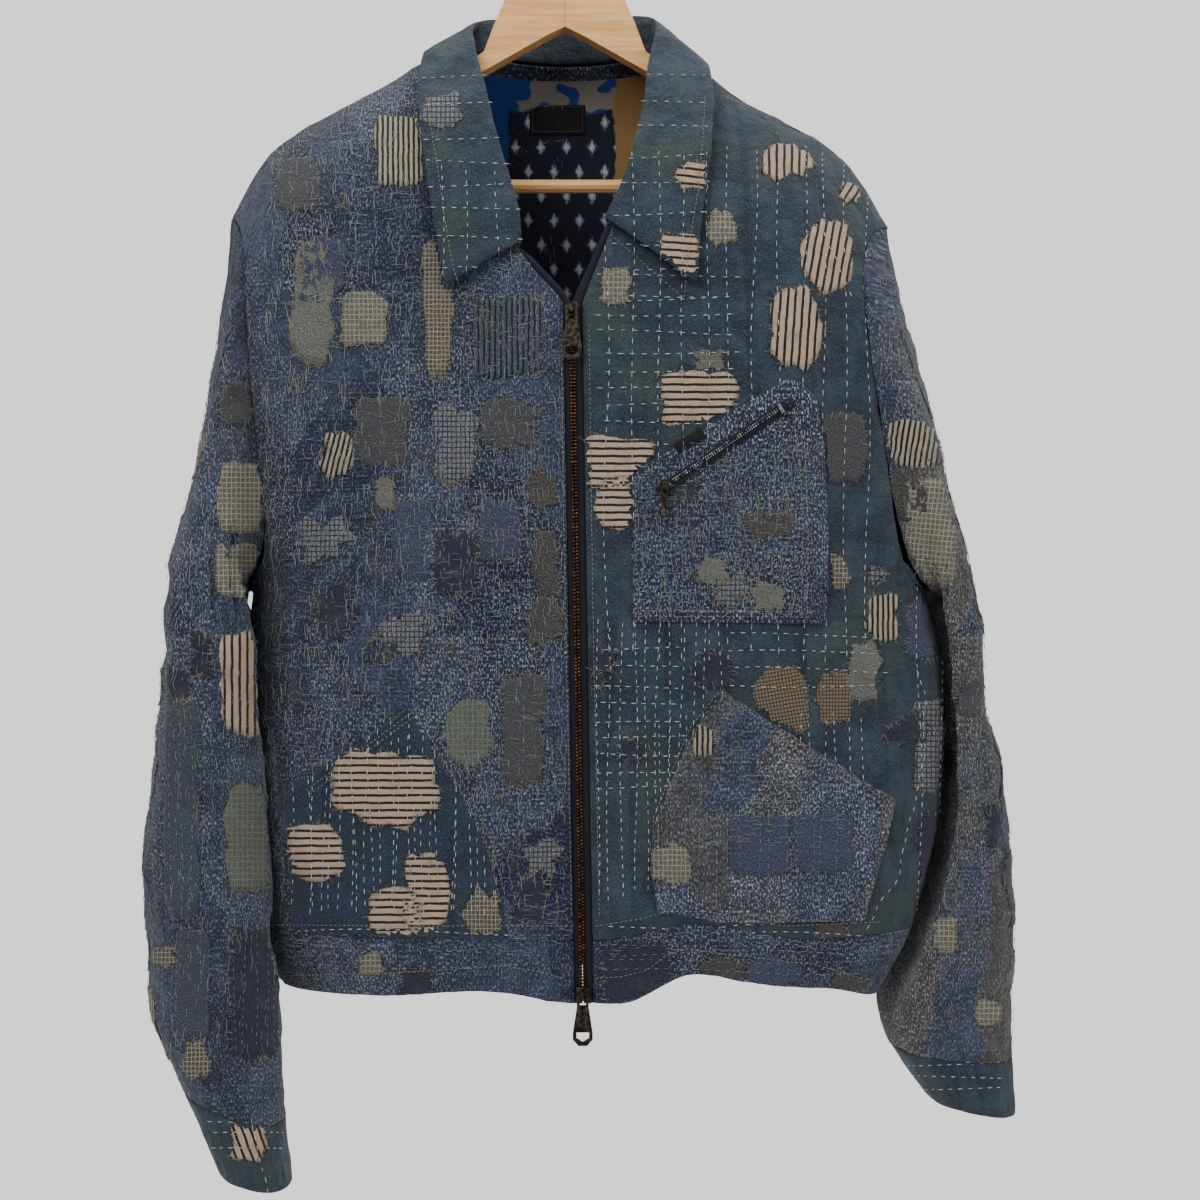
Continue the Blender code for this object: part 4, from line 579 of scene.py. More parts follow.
def kasuri_material(name):
    """Navy lining with rows of soft white splashes under a printed upper strip."""
    made, put = new_material(name)
    place, across, along = cloth_coords(put)
    rows = put("Math DIVIDE", along, 19.0)
    step = put("Math MULTIPLY", put("Math MODULO", put("Math FLOOR", rows), 2.0), 10.0)
    columns = put("Math DIVIDE", put("Math ADD", across, step), 20.0)
    cell_x = put("Math SUBTRACT", put("Math FRACT", columns), 0.5)
    cell_z = put("Math SUBTRACT", put("Math FRACT", rows), 0.5)
    edge = put("Math MULTIPLY", speckle(put, place, 1.2, (1.0, 2.4)), 0.55)
    near = wave_sum(put, put("Math ABSOLUTE", cell_x), 1.5, put("Math ABSOLUTE", cell_z), 0.9)
    splash = put("MapRange", put("Math ADD", near, edge), 0.62, 0.34)
    base = put("Mix", splash, colour("lining"), colour("splash"))
    top = put("Math ADD", along, put("Math MULTIPLY", speckle(put, place, 22.0), 16.0))
    strip = put("MapRange", top, -166.0, -164.0)
    clouds = put("MapRange", speckle(put, place, 17.0, (1.6, 1.0), 1.0), 0.50, 0.53)
    base = put("Mix", strip, base, put("Mix", clouds, colour("lining_grey"), colour("cloud_blue")))
    side = put("Math ADD", across, put("Math MULTIPLY", speckle(put, place, 20.0), 14.0))
    base = put("Mix", put("MapRange", side, -38.0, -40.0), base, colour("cloud_blue"))
    base = put("Mix", put("MapRange", side, 44.0, 46.0), base, colour("camel"))
    weave = put("Math ADD", ribs(put, across, 0.8), ribs(put, along, 0.8))
    return finish_shader(made, base, put("Math MULTIPLY", weave, 0.15), rough=0.85)


def tape_material(name, shade):
    """A tape's fine twill, with painted shade in its gaps."""
    made, put = new_material(name)
    _, across, along = cloth_coords(put)
    twill = ribs(put, put("Math ADD", across, along), 0.9)
    # Painted shade: black in the twill's gaps, the tape's own colour on its tops
    base = put("Mix", twill, colour("black"), colour(shade))
    return finish_shader(made, base, put("Math MULTIPLY", twill, 0.2), rough=0.8, lift=0.3)


def object_coords(put):
    """Object coordinates in millimetres."""
    return put("Mapping", put("TexCoord"), (1000.0, 1000.0, 1000.0))


def metal_material(name, shade, dark, rough, grain=0.6):
    """Worn metal: fine scratches, darker hollows and an uneven polish."""
    made, put = new_material(name)
    place = object_coords(put)
    cloudy = put("MapRange", put("TexNoise", place, 0.35, 4.0), 0.35, 0.68)
    scratch = put("TexNoise", place, 2.5, 6.0)
    base = put("Mix", cloudy, colour(dark), colour(shade))
    polish = put("Math ADD", put("Math MULTIPLY", scratch, 0.2), rough)
    height = put("Math MULTIPLY", scratch, grain)
    return finish_shader(made, base, height, rough=polish, lift=0.08, sheen=0.0, metallic=1.0)


def wood_material(name):
    """Lacquered beech: long grain lines along the arm, short dark flecks and a soft gloss."""
    made, put = new_material(name)
    place = object_coords(put)
    grain = put("TexNoise", put("Mapping", place, (0.012, 0.25, 0.22)), 1.0, 6.0, 0.65, 0.4)
    rings = ribs(put, put("Math MULTIPLY", grain, 40.0), 3.0)
    base = put("Mix", put("MapRange", grain, 0.35, 0.65), colour("wood_dark"), colour("wood"))
    base = put("Mix", put("Math MULTIPLY", rings, 0.35), base, colour("wood"))
    flecks = put("TexNoise", put("Mapping", place, (0.18, 1.6, 1.6)), 1.0, 2.0)
    dark = put("Math MULTIPLY", put("MapRange", flecks, 0.62, 0.72), 0.4)
    base = put("Mix", dark, base, colour("wood_dark"))
    return finish_shader(made, base, put("Math MULTIPLY", flecks, 0.3), rough=0.38, lift=0.1, sheen=0.0)


def plain_material(name, shade):
    """Spun thread and other small plain things, with a little grain."""
    made, put = new_material(name)
    grains = put("TexNoise", object_coords(put), 0.5, 3.0)
    worn = put("Mix", 0.35, colour(shade), colour("grey_tan"))
    base = put("Mix", put("MapRange", grains, 0.35, 0.70), colour(shade), worn)
    return finish_shader(made, base, put("Math MULTIPLY", grains, 0.2), rough=0.8, lift=0.1)


def make_materials():
    """Every material of the part by name."""
    blues = ("deep_indigo", "indigo", "blue_slate", "grey_blue", "blue_slate")
    tans = ("indigo", "blue_slate", "grey_blue", "grey_tan", "grey_blue")
    whites = ("indigo", "blue_slate", "grey_blue")
    faded = ("blue_slate", "grey_blue", "grey_tan")
    return {
        "heather": heather_material("indigo heather cotton", blues),
        "heather_tan": heather_material("grey-tan heather cotton", tans, 0.6, 0.6),
        "pocket_heather": heather_material("blue-white heather cotton", whites, 0.9, 0.2),
        "pocket_blue": heather_material("faded blue heather", faded, 0.8, 0.5),
        "teal_cotton": cotton_material("teal indigo cotton", "teal", "teal_light", "teal_green"),
        "collar_cotton": cotton_material("faded teal cotton", "teal", "teal_light", "teal_green", 0.8,
                                         "blue_slate"),
        "pocket_teal": cotton_material("plain indigo cotton", "teal", "blue_slate", "teal_light", 0.3),
        "kasuri": kasuri_material("kasuri lining cotton"),
        "label_satin": tape_material("black label satin", "black"),
        "tape_twill": tape_material("navy tape twill", "tape"),
        "charcoal": patch_material("charcoal wool cotton", "charcoal", grain=0.3),
        "navy": patch_material("navy cotton", "navy", grain=0.15),
        "indigo": patch_material("indigo cotton", "indigo", grain=0.35),
        "teal": patch_material("teal patch cotton", "teal", grain=0.3),
        "olive": patch_material("olive grey cotton", "olive", grain=0.6),
        "brown": patch_material("brown black cotton", "brown", grain=0.35),
        "faded": patch_material("faded darned cotton", "grey_tan", "blue_slate", "checks", 3.4, 0.3, 0.9),
        "tan_grid": patch_material("tan checked cotton", "olive", "cream", "checks", 3.4, 0.22, 0.5),
        "green_grid": patch_material("green grey checked cotton", "teal_green", "olive_light", "checks",
                                     3.8, 0.18, 0.4),
        "brown_grid": patch_material("brown checked cotton", "burlap_dark", "cream", "checks", 3.0, 0.2, 0.4),
        "teal_rib": patch_material("dark teal striped cotton", "teal", "deep_indigo", "stripes", 4.2, 0.45,
                                   0.4),
        "ticking": patch_material("black and white ticking", "cream", "black", "stripes", 3.9, 0.55, 0.2),
        "window": patch_material("striped under cloth", "window_tan", "window_dark", "stripes", 5.6, 0.42,
                                 0.25),
        "burlap": patch_material("burlap", "burlap", "burlap_dark", "basket", 2.4, 0.35, 0.3),
        "stitch": plain_material("white cotton thread", "stitch"),
        "thread_dim": plain_material("grey blue thread", "thread_dim"),
        "fray": plain_material("cream frayed thread", "cream"),
        "fray_blue": plain_material("blue frayed thread", "blue_slate"),
        "label_thread": plain_material("grey label thread", "label_thread"),
        "teeth": metal_material("copper teeth", "teeth", "teeth_dark", 0.28),
        "silver": metal_material("nickel teeth", "silver", "charcoal", 0.25),
        "tab": metal_material("antique brass", "tab", "brown", 0.38),
        "steel": metal_material("bright wire", "steel", "silver", 0.12, 0.2),
        "wood": wood_material("lacquered beech"),
    }


# The cloth

SLEEVE_MIDDLE = {
    "right": table("z x y", (-974, -222, -47), (-860, -246, -42), (-700, -252, -35), (-480, -246, -27),
                   (-300, -247, -4)),
    "left": table("z x y", (-932, 298, -9), (-850, 284, 2), (-700, 287, 12), (-480, 278, 13),
                  (-300, 255, 2)),
}
SLEEVE_RADIUS = 58.0
CRISP_ANGLE = math.radians(60)
SHRINK_NEAR_ZIP = 14.0


def column(rows, name):
    """A column of a table as an array."""
    return np.array([row[name] for row in rows], float)


def sleeve_middle(side, z):
    """The sleeve's middle line at a height, in millimetres."""
    rows = SLEEVE_MIDDLE[side]
    heights = column(rows, "z")
    return np.interp(z, heights, column(rows, "x")), np.interp(z, heights, column(rows, "y"))


def crease_height(rows, x, z):
    """The sum of the soft creases at points in millimetres."""
    total = np.zeros(len(x))
    for row in rows:
        run = np.array((row["x1"] - row["x0"], row["z1"] - row["z0"]), float)
        along = ((x - row["x0"]) * run[0] + (z - row["z0"]) * run[1]) / (run @ run)
        ends = np.clip(1.6 - np.abs(along - 0.5) * 2.2, 0.0, 1.0)
        bend = 4.0 * np.sin(along * 5.0 + row["x0"])
        away = ((x - row["x0"]) * run[1] - (z - row["z0"]) * run[0]) / np.linalg.norm(run) + bend
        total += row["height"] * ends * np.exp(-((away / row["width"]) ** 2))
    return total


def small_wave(point):
    """Small uneven waves at a point in millimetres."""
    place = Vector(point)
    return noise.noise(place * 0.047) * 1.4 + noise.noise(place * 0.11 + Vector((9, 3, 5))) * 0.75


def wrinkle(points, run, wave):
    """How far each point moves outward: small uneven waves and the placed creases."""
    small = np.array([small_wave(point) for point in points])
    x, y, z = points.T
    if run == "sleeve":
        return wave * (small + crease_height(SLEEVE_CREASES, x, z))
    front = crease_height(FRONT_CREASES, x, z)
    back = crease_height(BACK_CREASES, x, z)
    facing = np.clip(0.5 - (y + 5.0) / 60.0, 0.0, 1.0)
    calm = np.clip((np.abs(x - 10.0) - 9.0) / SHRINK_NEAR_ZIP, 0.0, 1.0)
    calm = np.where(y < -20, calm, 1.0)
    return wave * calm * (small + front * facing + back * (1 - facing))


def outward_sign(points, normals, node_name, run):
    """1 where a face normal points away from the piece's middle, and -1 on the lining side."""
    if run == "sleeve":
        middle_x, middle_y = sleeve_middle("left" if "left" in node_name else "right", points[:, 2])
        away = np.stack([(points[:, 0] - middle_x) / 40.0**2, (points[:, 1] - middle_y) / 75.0**2], axis=-1)
    else:
        away = np.stack([points[:, 0] / 265.0**2, (points[:, 1] + 5.0) / 80.0**2], axis=-1)
    return np.where((away * normals[:, :2]).sum(axis=1) < 0, -1.0, 1.0)


def cloth_uv(mesh, node_name, run):
    """The cloth's own coordinates: across by the length round the piece, along by its height."""
    x, y, z = mesh_points(mesh).T
    across = x
    if run == "sleeve":
        side = "left" if "left" in node_name else "right"
        middle_x, middle_y = sleeve_middle(side, z)
        sign = 1.0 if side == "left" else -1.0
        across = np.arctan2((y - middle_y) / 75.0, sign * (x - middle_x) / 45.0) * SLEEVE_RADIUS
    elif run == "body":
        turned = np.clip((np.abs(x) - 150.0) / 100.0, 0.0, 1.0)
        depth = np.where(y < -5, 84.0 + y, 66.0 - y)
        across = x + np.sign(x) * turned * np.clip(depth, 0.0, 90.0)
    layer = mesh.uv_layers.new(name="cloth")
    for face in mesh.polygons:
        values = [across[mesh.loops[loop].vertex_index] for loop in face.loop_indices]
        wrap = run == "sleeve" and max(values) - min(values) > SLEEVE_RADIUS * 3
        for loop, value in zip(face.loop_indices, values):
            if wrap and value < 0:
                value += SLEEVE_RADIUS * 2 * math.pi
            layer.data[loop].uv = (value * MM, z[mesh.loops[loop].vertex_index] * MM)


def smooth_copy(node_name, levels):
    """A node's solid as quads, subdivided smoothly with its rims kept crisp."""
    source = bpy.data.objects[node_name]
    bm = bmesh.new()
    bm.from_mesh(source.data)
    bmesh.ops.remove_doubles(bm, verts=bm.verts, dist=2e-5)
    bmesh.ops.join_triangles(bm, faces=bm.faces, angle_face_threshold=0.7, angle_shape_threshold=1.2)
    crease = bm.edges.layers.float.new("crease_edge")
    for edge in bm.edges:
        if len(edge.link_faces) == 2 and edge.calc_face_angle(0.0) > CRISP_ANGLE:
            edge[crease] = 0.85
    mesh = bpy.data.meshes.new("smooth_" + node_name)
    bm.to_mesh(mesh)
    bm.free()
    made = new_object("cloth_" + node_name, mesh)
    finer = made.modifiers.new("finer", "SUBSURF")
    finer.levels = levels
    finer.render_levels = levels
    graph = bpy.context.evaluated_depsgraph_get()
    done = bpy.data.meshes.new_from_object(made.evaluated_get(graph))
    made.modifiers.remove(finer)
    made.data = done
    return made


TUCKED = {"zip_tape_right": -1, "zip_tape_left": 1}
TUCK_ACROSS = 2.4
TUCK_BACK = 1.9


def tuck_edge(mesh, side):
    """Slip a zip tape's outer edge behind the front that it is sewn to."""
    points = mesh_points(mesh)
    level = np.round(points[:, 2] / 12.0)
    for step in np.unique(level):
        rows = np.flatnonzero(level == step)
        x = points[rows, 0] * side
        share = np.clip((x - x.max() + 2.2) / 2.2, 0.0, 1.0)
        points[rows, 0] += side * TUCK_ACROSS * share
        points[rows, 1] += TUCK_BACK * share
    move_points(mesh, points)


def make_cloth(row, materials):
    """One cloth piece: the smooth wall, its creases and its material."""
    mesh = smooth_copy(row["node"], row["smooth"]).data
    if row["wave"] > 0:
        points = mesh_points(mesh)
        normals = np.array([vert.normal for vert in mesh.vertices])
        sign = outward_sign(points, normals, row["node"], row["run"])
        height = wrinkle(points, row["run"], row["wave"])
        move_points(mesh, points + normals * (sign * height)[:, None])
    if row["node"] in TUCKED:
        tuck_edge(mesh, TUCKED[row["node"]])
    cloth_uv(mesh, row["node"], row["run"])
    mesh.materials.clear()
    mesh.materials.append(materials[row["material"]])
    mesh.shade_smooth()


# Looking at the cloth from the photograph's camera or from another side

VIEWS = {
    "front": {"eye": CAMERA_PLACE, "plane": (0.0, 0.0), "across": (1.0, 0.0)},
    "back": {"eye": (0.02625, 1.236, -0.555), "plane": (0.0, 0.0), "across": (1.0, 0.0)},
    "left": {"eye": (1.5, 0.0, -0.6), "plane": (0.3, 0.0), "across": (0.0, 1.0)},
    "right": {"eye": (-1.5, -0.03, -0.6), "plane": (-0.27, 0.0), "across": (0.0, 1.0)},
}


def cloth_tree():
    """One search tree over all the visible cloth, and the piece that each face belongs to."""
    corners, faces, owners = [], [], []
    for row in CLOTH:
        if row["run"] == "flat":
            continue
        mesh = bpy.data.objects["cloth_" + row["node"]].data
        start = len(corners)
        corners.extend(vert.co.copy() for vert in mesh.vertices)
        for face in mesh.polygons:
            faces.append([start + index for index in face.vertices])
            owners.append(row["node"])
    return BVHTree.FromPolygons(corners, faces), owners


def cast(tree, view, x, z):
    """The cloth's point, normal and face behind a place in a view, in metres."""
    look = VIEWS[view]
    eye = Vector(look["eye"])
    aim = Vector((look["plane"][0] + look["across"][0] * x * MM, look["across"][1] * x * MM, z * MM))
    return tree.ray_cast(eye, (aim - eye).normalized())


# Patches

PATCH_LIFT = 0.8
PATCH_RINGS = 6
FRAY_SHARE = 0.85
THREAD_CORNERS = (0.0, 2.1, 4.2)


def patch_radius(row, angle, seed):
    """The patch's edge in a direction: a rounded rectangle with a ragged outline."""
    power = row["round"]
    reach = (abs(math.cos(angle)) ** power + abs(math.sin(angle)) ** power) ** (-1 / power)
    rough = noise.noise(Vector((math.cos(angle) * 2.2, math.sin(angle) * 2.2, seed))) * 3.4
    rough += noise.noise(Vector((math.cos(angle) * 7.0, math.sin(angle) * 7.0, seed + 7))) * 1.7
    return reach, rough * row["ragged"]


def patch_grid(tree, owners, view, row, seed):
    """The patch's points on the cloth as rings, with each point's place on the patch."""
    spokes = max(20, min(48, int((row["width"] + row["height"]) / 3.0)))
    rings = []
    middle = cast(tree, view, row["x"], row["z"])
    if middle[0] is None:
        return None, None
    for ring in range(PATCH_RINGS + 1):
        share = ring / PATCH_RINGS
        line = []
        for spoke in range(spokes):
            angle = 2 * math.pi * spoke / spokes
            reach, rough = patch_radius(row, angle, seed)
            u = share * (math.cos(angle) * (reach * row["width"] / 2 + rough))
            v = share * (math.sin(angle) * (reach * row["height"] / 2 + rough))
            hit = cast(tree, view, row["x"] + u, row["z"] + v)
            if hit[0] is None or owners[hit[2]] != owners[middle[2]]:
                line.append(None)
                continue
            line.append((hit[0] + hit[1] * PATCH_LIFT * MM, hit[1], u, v))
        rings.append(line)
    return rings, middle


def add_patch(bm, layer, rings, row, index):
    """Stitch the rings into faces, with a thin turned-down edge."""
    turn = math.radians(row["turn"])
    made = []
    for line in rings:
        made.append([None if spot is None else bm.verts.new(spot[0]) for spot in line])
    made.append([None if spot is None else bm.verts.new(spot[0] - spot[1] * PATCH_LIFT * 0.9 * MM)
                 for spot in rings[-1]])
    spots = rings + [rings[-1]]
    for low in range(len(made) - 1):
        for here in range(len(made[low])):
            there = (here + 1) % len(made[low])
            corners = [(low, here), (low + 1, here), (low + 1, there), (low, there)]
            if low == 0:
                corners = [(1, here), (1, there), (0, 0)]
            verts = [made[a][b] for a, b in corners]
            if None in verts:
                continue
            face = bm.faces.new(verts)
            face.material_index = index
            face.smooth = True
            for loop, (a, b) in zip(face.loops, corners):
                u, v = spots[a][b][2], spots[a][b][3]
                loop[layer].uv = ((u * math.cos(turn) + v * math.sin(turn)) * MM,
                                  (v * math.cos(turn) - u * math.sin(turn)) * MM)
    unused = [vert for vert in bm.verts if not vert.link_faces]
    bmesh.ops.delete(bm, geom=unused, context="VERTS")


def thread_ring(bm, middle, side, up, thin):
    """Three corners of a thread round its middle line."""
    return [bm.verts.new(middle + side * thin * math.cos(a) + up * thin * math.sin(a))
            for a in THREAD_CORNERS]


def join_rings(bm, rings, index):
    """Faces from each ring of a thread to the next."""
    for low, high in zip(rings, rings[1:]):
        for here in range(3):
            there = (here + 1) % 3
            face = bm.faces.new((low[here], low[there], high[there], high[here]))
            face.material_index = index


def add_strand(bm, start, way, up, length, width, index, dice):
    """A frayed end: a thin three-sided thread that bends as it leaves the edge."""
    side = way.cross(up).normalized()
    bend = dice.uniform(-0.6, 0.6)
    rings = []
    for step in range(4):
        share = step / 3
        middle = start + way * length * share + side * bend * length * share * share
        middle = middle + up * length * 0.12 * share
        rings.append(thread_ring(bm, middle, side, up, width * (1 - 0.6 * share)))
    join_rings(bm, rings, index)


def fray_patch(bm, rings, row, dice):
    """Loose threads round a patch's edge, some over it and some away from it."""
    line = rings[-1]
    for here, spot in enumerate(line):
        after = line[(here + 1) % len(line)]
        if spot is None or after is None:
            continue
        for _ in range(3 if row["kind"] in ("window", "navy", "burlap") else 2):
            if dice.random() > FRAY_SHARE:
                continue
            place = spot[0].lerp(after[0], dice.random())
            edge = (after[0] - spot[0]).normalized()
            out = edge.cross(spot[1]).normalized()
            lean = dice.uniform(-0.7, 0.7)
            into = -1 if dice.random() < 0.55 else 1
            way = (out * into + edge * lean).normalized()
            length = dice.uniform(2.0, 6.5) * MM
            thin = dice.uniform(0.14, 0.24) * MM
            tone = dice.choice((0, 0, 1))
            add_strand(bm, place - way * length * 0.3, way, spot[1], length, thin, tone, dice)


def hidden_rows():
    """Seeded patches for the back and the sides, in loose rows and columns."""
    dice = random.Random(41)
    rows = []
    for region in HIDDEN_PATCHES:
        columns = max(1, round((region["x1"] - region["x0"]) / region["cell"]))
        lines = max(1, round((region["z1"] - region["z0"]) / region["cell"]))
        for i in range(columns):
            for j in range(lines):
                if dice.random() > region["share"]:
                    continue
                width = region["cell"] * dice.uniform(0.35, 0.8)
                height = region["cell"] * dice.uniform(0.4, 1.0)
                x = region["x0"] + (i + dice.uniform(0.35, 0.65)) * (region["x1"] - region["x0"]) / columns
                z = region["z0"] + (j + dice.uniform(0.3, 0.7)) * (region["z1"] - region["z0"]) / lines
                rows.append({
                    "view": region["view"], "kind": dice.choice(HIDDEN_KINDS),
                    "x": x, "z": z, "width": width, "height": height,
                    "round": dice.choice((2.6, 3.4, 5, 7)), "turn": dice.choice((0, 0, 90, -8)),
                    "ragged": dice.uniform(1.0, 3.0),
                })
    return rows


def lay_patches(materials):
    """All the patches, one object for each cloth piece that they lie on, and their frayed ends."""
    tree, owners = cloth_tree()
    kinds = sorted({row["kind"] for row in FRONT_PATCHES} | set(HIDDEN_KINDS))
    layers, frays = {}, {}
    dice = random.Random(7)
    for seed, row in enumerate([dict(row, view="front") for row in FRONT_PATCHES] + hidden_rows()):
        rings, middle = patch_grid(tree, owners, row["view"], row, seed * 1.7)
        if rings is None:
            continue
        owner = owners[middle[2]]
        if owner not in layers:
            bm = bmesh.new()
            layers[owner] = (bm, bm.loops.layers.uv.new("cloth"))
            frays[owner] = bmesh.new()
        bm, layer = layers[owner]
        if rings[0][0] is None:
            continue
        add_patch(bm, layer, rings, row, kinds.index(row["kind"]))
        fray_patch(frays[owner], rings, row, dice)
    for owner, (bm, _) in layers.items():
        mesh_object("patches_" + owner, bm, [materials[kind] for kind in kinds])
        mesh_object("frays_" + owner, frays[owner], (materials["fray"], materials["fray_blue"]))


# Stitches and teeth through Geometry Nodes

SCATTER_SEED = 3


def repeat_group(name, shape):
    """A node group that sets a small shape along every line of the input mesh."""
    group = bpy.data.node_groups.new(name, "GeometryNodeTree")
    face = group.interface
    face.new_socket("Geometry", in_out="INPUT", socket_type="NodeSocketGeometry")
    for label, kind in (("Pitch", "Float"), ("Size", "Vector"), ("Scatter", "Float"), ("Seed", "Int"),
                        ("Finish", "Material")):
        face.new_socket(label, in_out="INPUT", socket_type="NodeSocket" + kind)
    face.new_socket("Geometry", in_out="OUTPUT", socket_type="NodeSocketGeometry")
    start = group.nodes.new("NodeGroupInput").outputs
    curve = node(group, "GeometryNodeMeshToCurve", start["Geometry"])
    spaced = node(group, "GeometryNodeResampleCurve", curve, start["Pitch"])
    if shape == "tooth":
        piece = node(group, "GeometryNodeMeshCube")
    else:
        piece = node(group, "GeometryNodeMeshUVSphere", 6, 3, 0.5)
    turn = node(group, "FunctionNodeAlignRotationToVector", node(group, "GeometryNodeInputTangent"))
    low = node(group, "Math SUBTRACT", 1.0, start["Scatter"])
    high = node(group, "Math ADD", 1.0, start["Scatter"])
    jitter = node(group, "FunctionNodeRandomValue", low, high, start["Seed"])
    size = node(group, "VectorMath MULTIPLY", start["Size"], jitter)
    spread = node(group, "GeometryNodeInstanceOnPoints", spaced, piece, turn, size)
    real = node(group, "GeometryNodeRealizeInstances", spread)
    dress = node(group, "GeometryNodeSetMaterial", real, start["Finish"])
    group.links.new(dress, group.nodes.new("NodeGroupOutput").inputs["Geometry"])
    return group


def repeat_along(name, lines, shape, pitch, size, finish, scatter=0.0):
    """Small shapes along lines of points, turned into a plain mesh."""
    group = bpy.data.node_groups.get("repeat " + shape) or repeat_group("repeat " + shape, shape)
    mesh = bpy.data.meshes.new(name)
    points, edges = [], []
    for line in lines:
        start = len(points)
        points.extend(line)
        edges.extend((start + index, start + index + 1) for index in range(len(line) - 1))
    mesh.from_pydata(points, edges, [])
    made = new_object(name, mesh)
    repeat = made.modifiers.new("repeat", "NODES")
    repeat.node_group = group
    wanted = {
        "Pitch": pitch * MM,
        "Size": tuple(part * MM for part in size),
        "Scatter": scatter,
        "Seed": SCATTER_SEED,
        "Finish": finish,
    }
    for item in group.interface.items_tree:
        if item.in_out == "INPUT" and item.name in wanted:
            repeat[item.identifier] = wanted[item.name]
    made.update_tag()
    graph = bpy.context.evaluated_depsgraph_get()
    done = bpy.data.meshes.new_from_object(made.evaluated_get(graph))
    made.modifiers.remove(repeat)
    done.materials.clear()
    done.materials.append(finish)
    done.polygons.foreach_set("material_index", [0] * len(done.polygons))
    made.data = done
    done.shade_smooth()
    return made


STITCH_LIFT = 1.25
STEP_AWAY = 7.0
SEAM_STEP = 2.5


def cast_line(tree, owners, view, places):
    """Follow places over the cloth as (piece, line) pairs, broken where the cloth steps away."""
    lines, line, before, host = [], [], None, None
    for x, z in places:
        hit = cast(tree, view, x, z)
        spot = None if hit[0] is None else hit[0] + hit[1] * STITCH_LIFT * MM
        owner = None if hit[0] is None else owners[hit[2]]
        if spot is None or before is None or owner != host or (spot - before).length > STEP_AWAY * MM:
            lines.append((host, line))
            line = []
        if spot is not None:
            line.append(spot)
        before, host = spot, owner
    lines.append((host, line))
    return [(host, line) for host, line in lines if len(line) > 3]


def field_lines(field, number):
    """The straight, slightly wandering lines of a stitch field."""
    dice = random.Random(number * 13 + 5)
    upright = field["turn"] == 90
    low, high = (field["x0"], field["x1"]) if upright else (field["z0"], field["z1"])
    start, end = (field["z0"], field["z1"]) if upright else (field["x0"], field["x1"])
    lines = []
    place = low + dice.uniform(0.1, 0.6) * field["space"]
    while place < high:
        sway = dice.uniform(1.0, 2.6)
        phase = dice.uniform(0, 6.28)
        first = start + dice.uniform(0, 10)
        last = end - dice.uniform(0, 10)
        steps = max(2, int((last - first) / 3.0))
        run = [first + (last - first) * step / steps for step in range(steps + 1)]
        if upright:
            lines.append([(place + sway * math.sin(value / 38 + phase), value) for value in run])
        else:
            lines.append([(value, place + sway * math.sin(value / 38 + phase)) for value in run])
        place += field["space"] * dice.uniform(0.8, 1.2)
    return lines


DIM_HOSTS = ("front_right", "chest_pocket", "sleeve_left", "sleeve_right", "back_panel", "hem_band_back",
             "hem_band_left", "hem_band_right", "hand_pocket_left")


def lay_stitches(materials):
    """Running stitches over the cloth and topstitching beside its seams."""
    tree, owners = cloth_tree()
    groups = {}
    for number, field in enumerate(STITCH_FIELDS):
        for places in field_lines(field, number):
            for host, line in cast_line(tree, owners, field["view"], places):
                groups.setdefault((field["pitch"], host in DIM_HOSTS), []).append(line)
    for (pitch, dim), lines in groups.items():
        name = "stitches_%02d_%s" % (pitch * 10, "dim" if dim else "white")
        thick = bpy.context.scene.jacket.thread
        size = (pitch * 0.56, 0.62 * thick, 0.52 * thick)
        if dim:
            size = (pitch * 0.5, 0.46 * thick, 0.42 * thick)
        repeat_along(name, lines, "stitch", pitch, size, materials["thread_dim" if dim else "stitch"], 0.22)
    lines = []
    for path in SEAMS.values():
        lengths = [0.0]
        for here, there in zip(path, path[1:]):
            lengths.append(lengths[-1] + math.dist(here, there))
        at = np.arange(0.0, lengths[-1], SEAM_STEP)
        x = np.interp(at, lengths, [place[0] for place in path])
        z = np.interp(at, lengths, [place[1] for place in path])
        lines.extend(line for _, line in cast_line(tree, owners, "front", list(zip(x, z))))
    repeat_along("topstitching", lines, "stitch", 3.4, (2.4, 0.55, 0.5), materials["fray"], 0.12)


# Darned threads: view, corners, how many, their length and their lean from upright
DARNS = table(
    "view x0 z0 x1 z1 count length lean",
    ("front", -225, -170, 0, -790, 1800, 9, 0),
    ("front", -225, -170, 0, -790, 1200, 8, 90),
    ("front", 55, -440, 185, -565, 420, 7, 0),
    ("front", 55, -440, 185, -565, 300, 7, 90),
    ("front", 95, -640, 235, -740, 220, 8, 90),
    ("front", -210, -790, 230, -820, 200, 7, 90),
    ("front", -295, -330, -215, -900, 420, 9, 0),
    ("front", 235, -300, 330, -860, 420, 9, 0),
    ("back", -230, -200, 230, -800, 900, 9, 0),
    ("left", -60, -350, 60, -850, 260, 9, 0),
    ("right", -80, -350, 40, -850, 260, 9, 0),
)


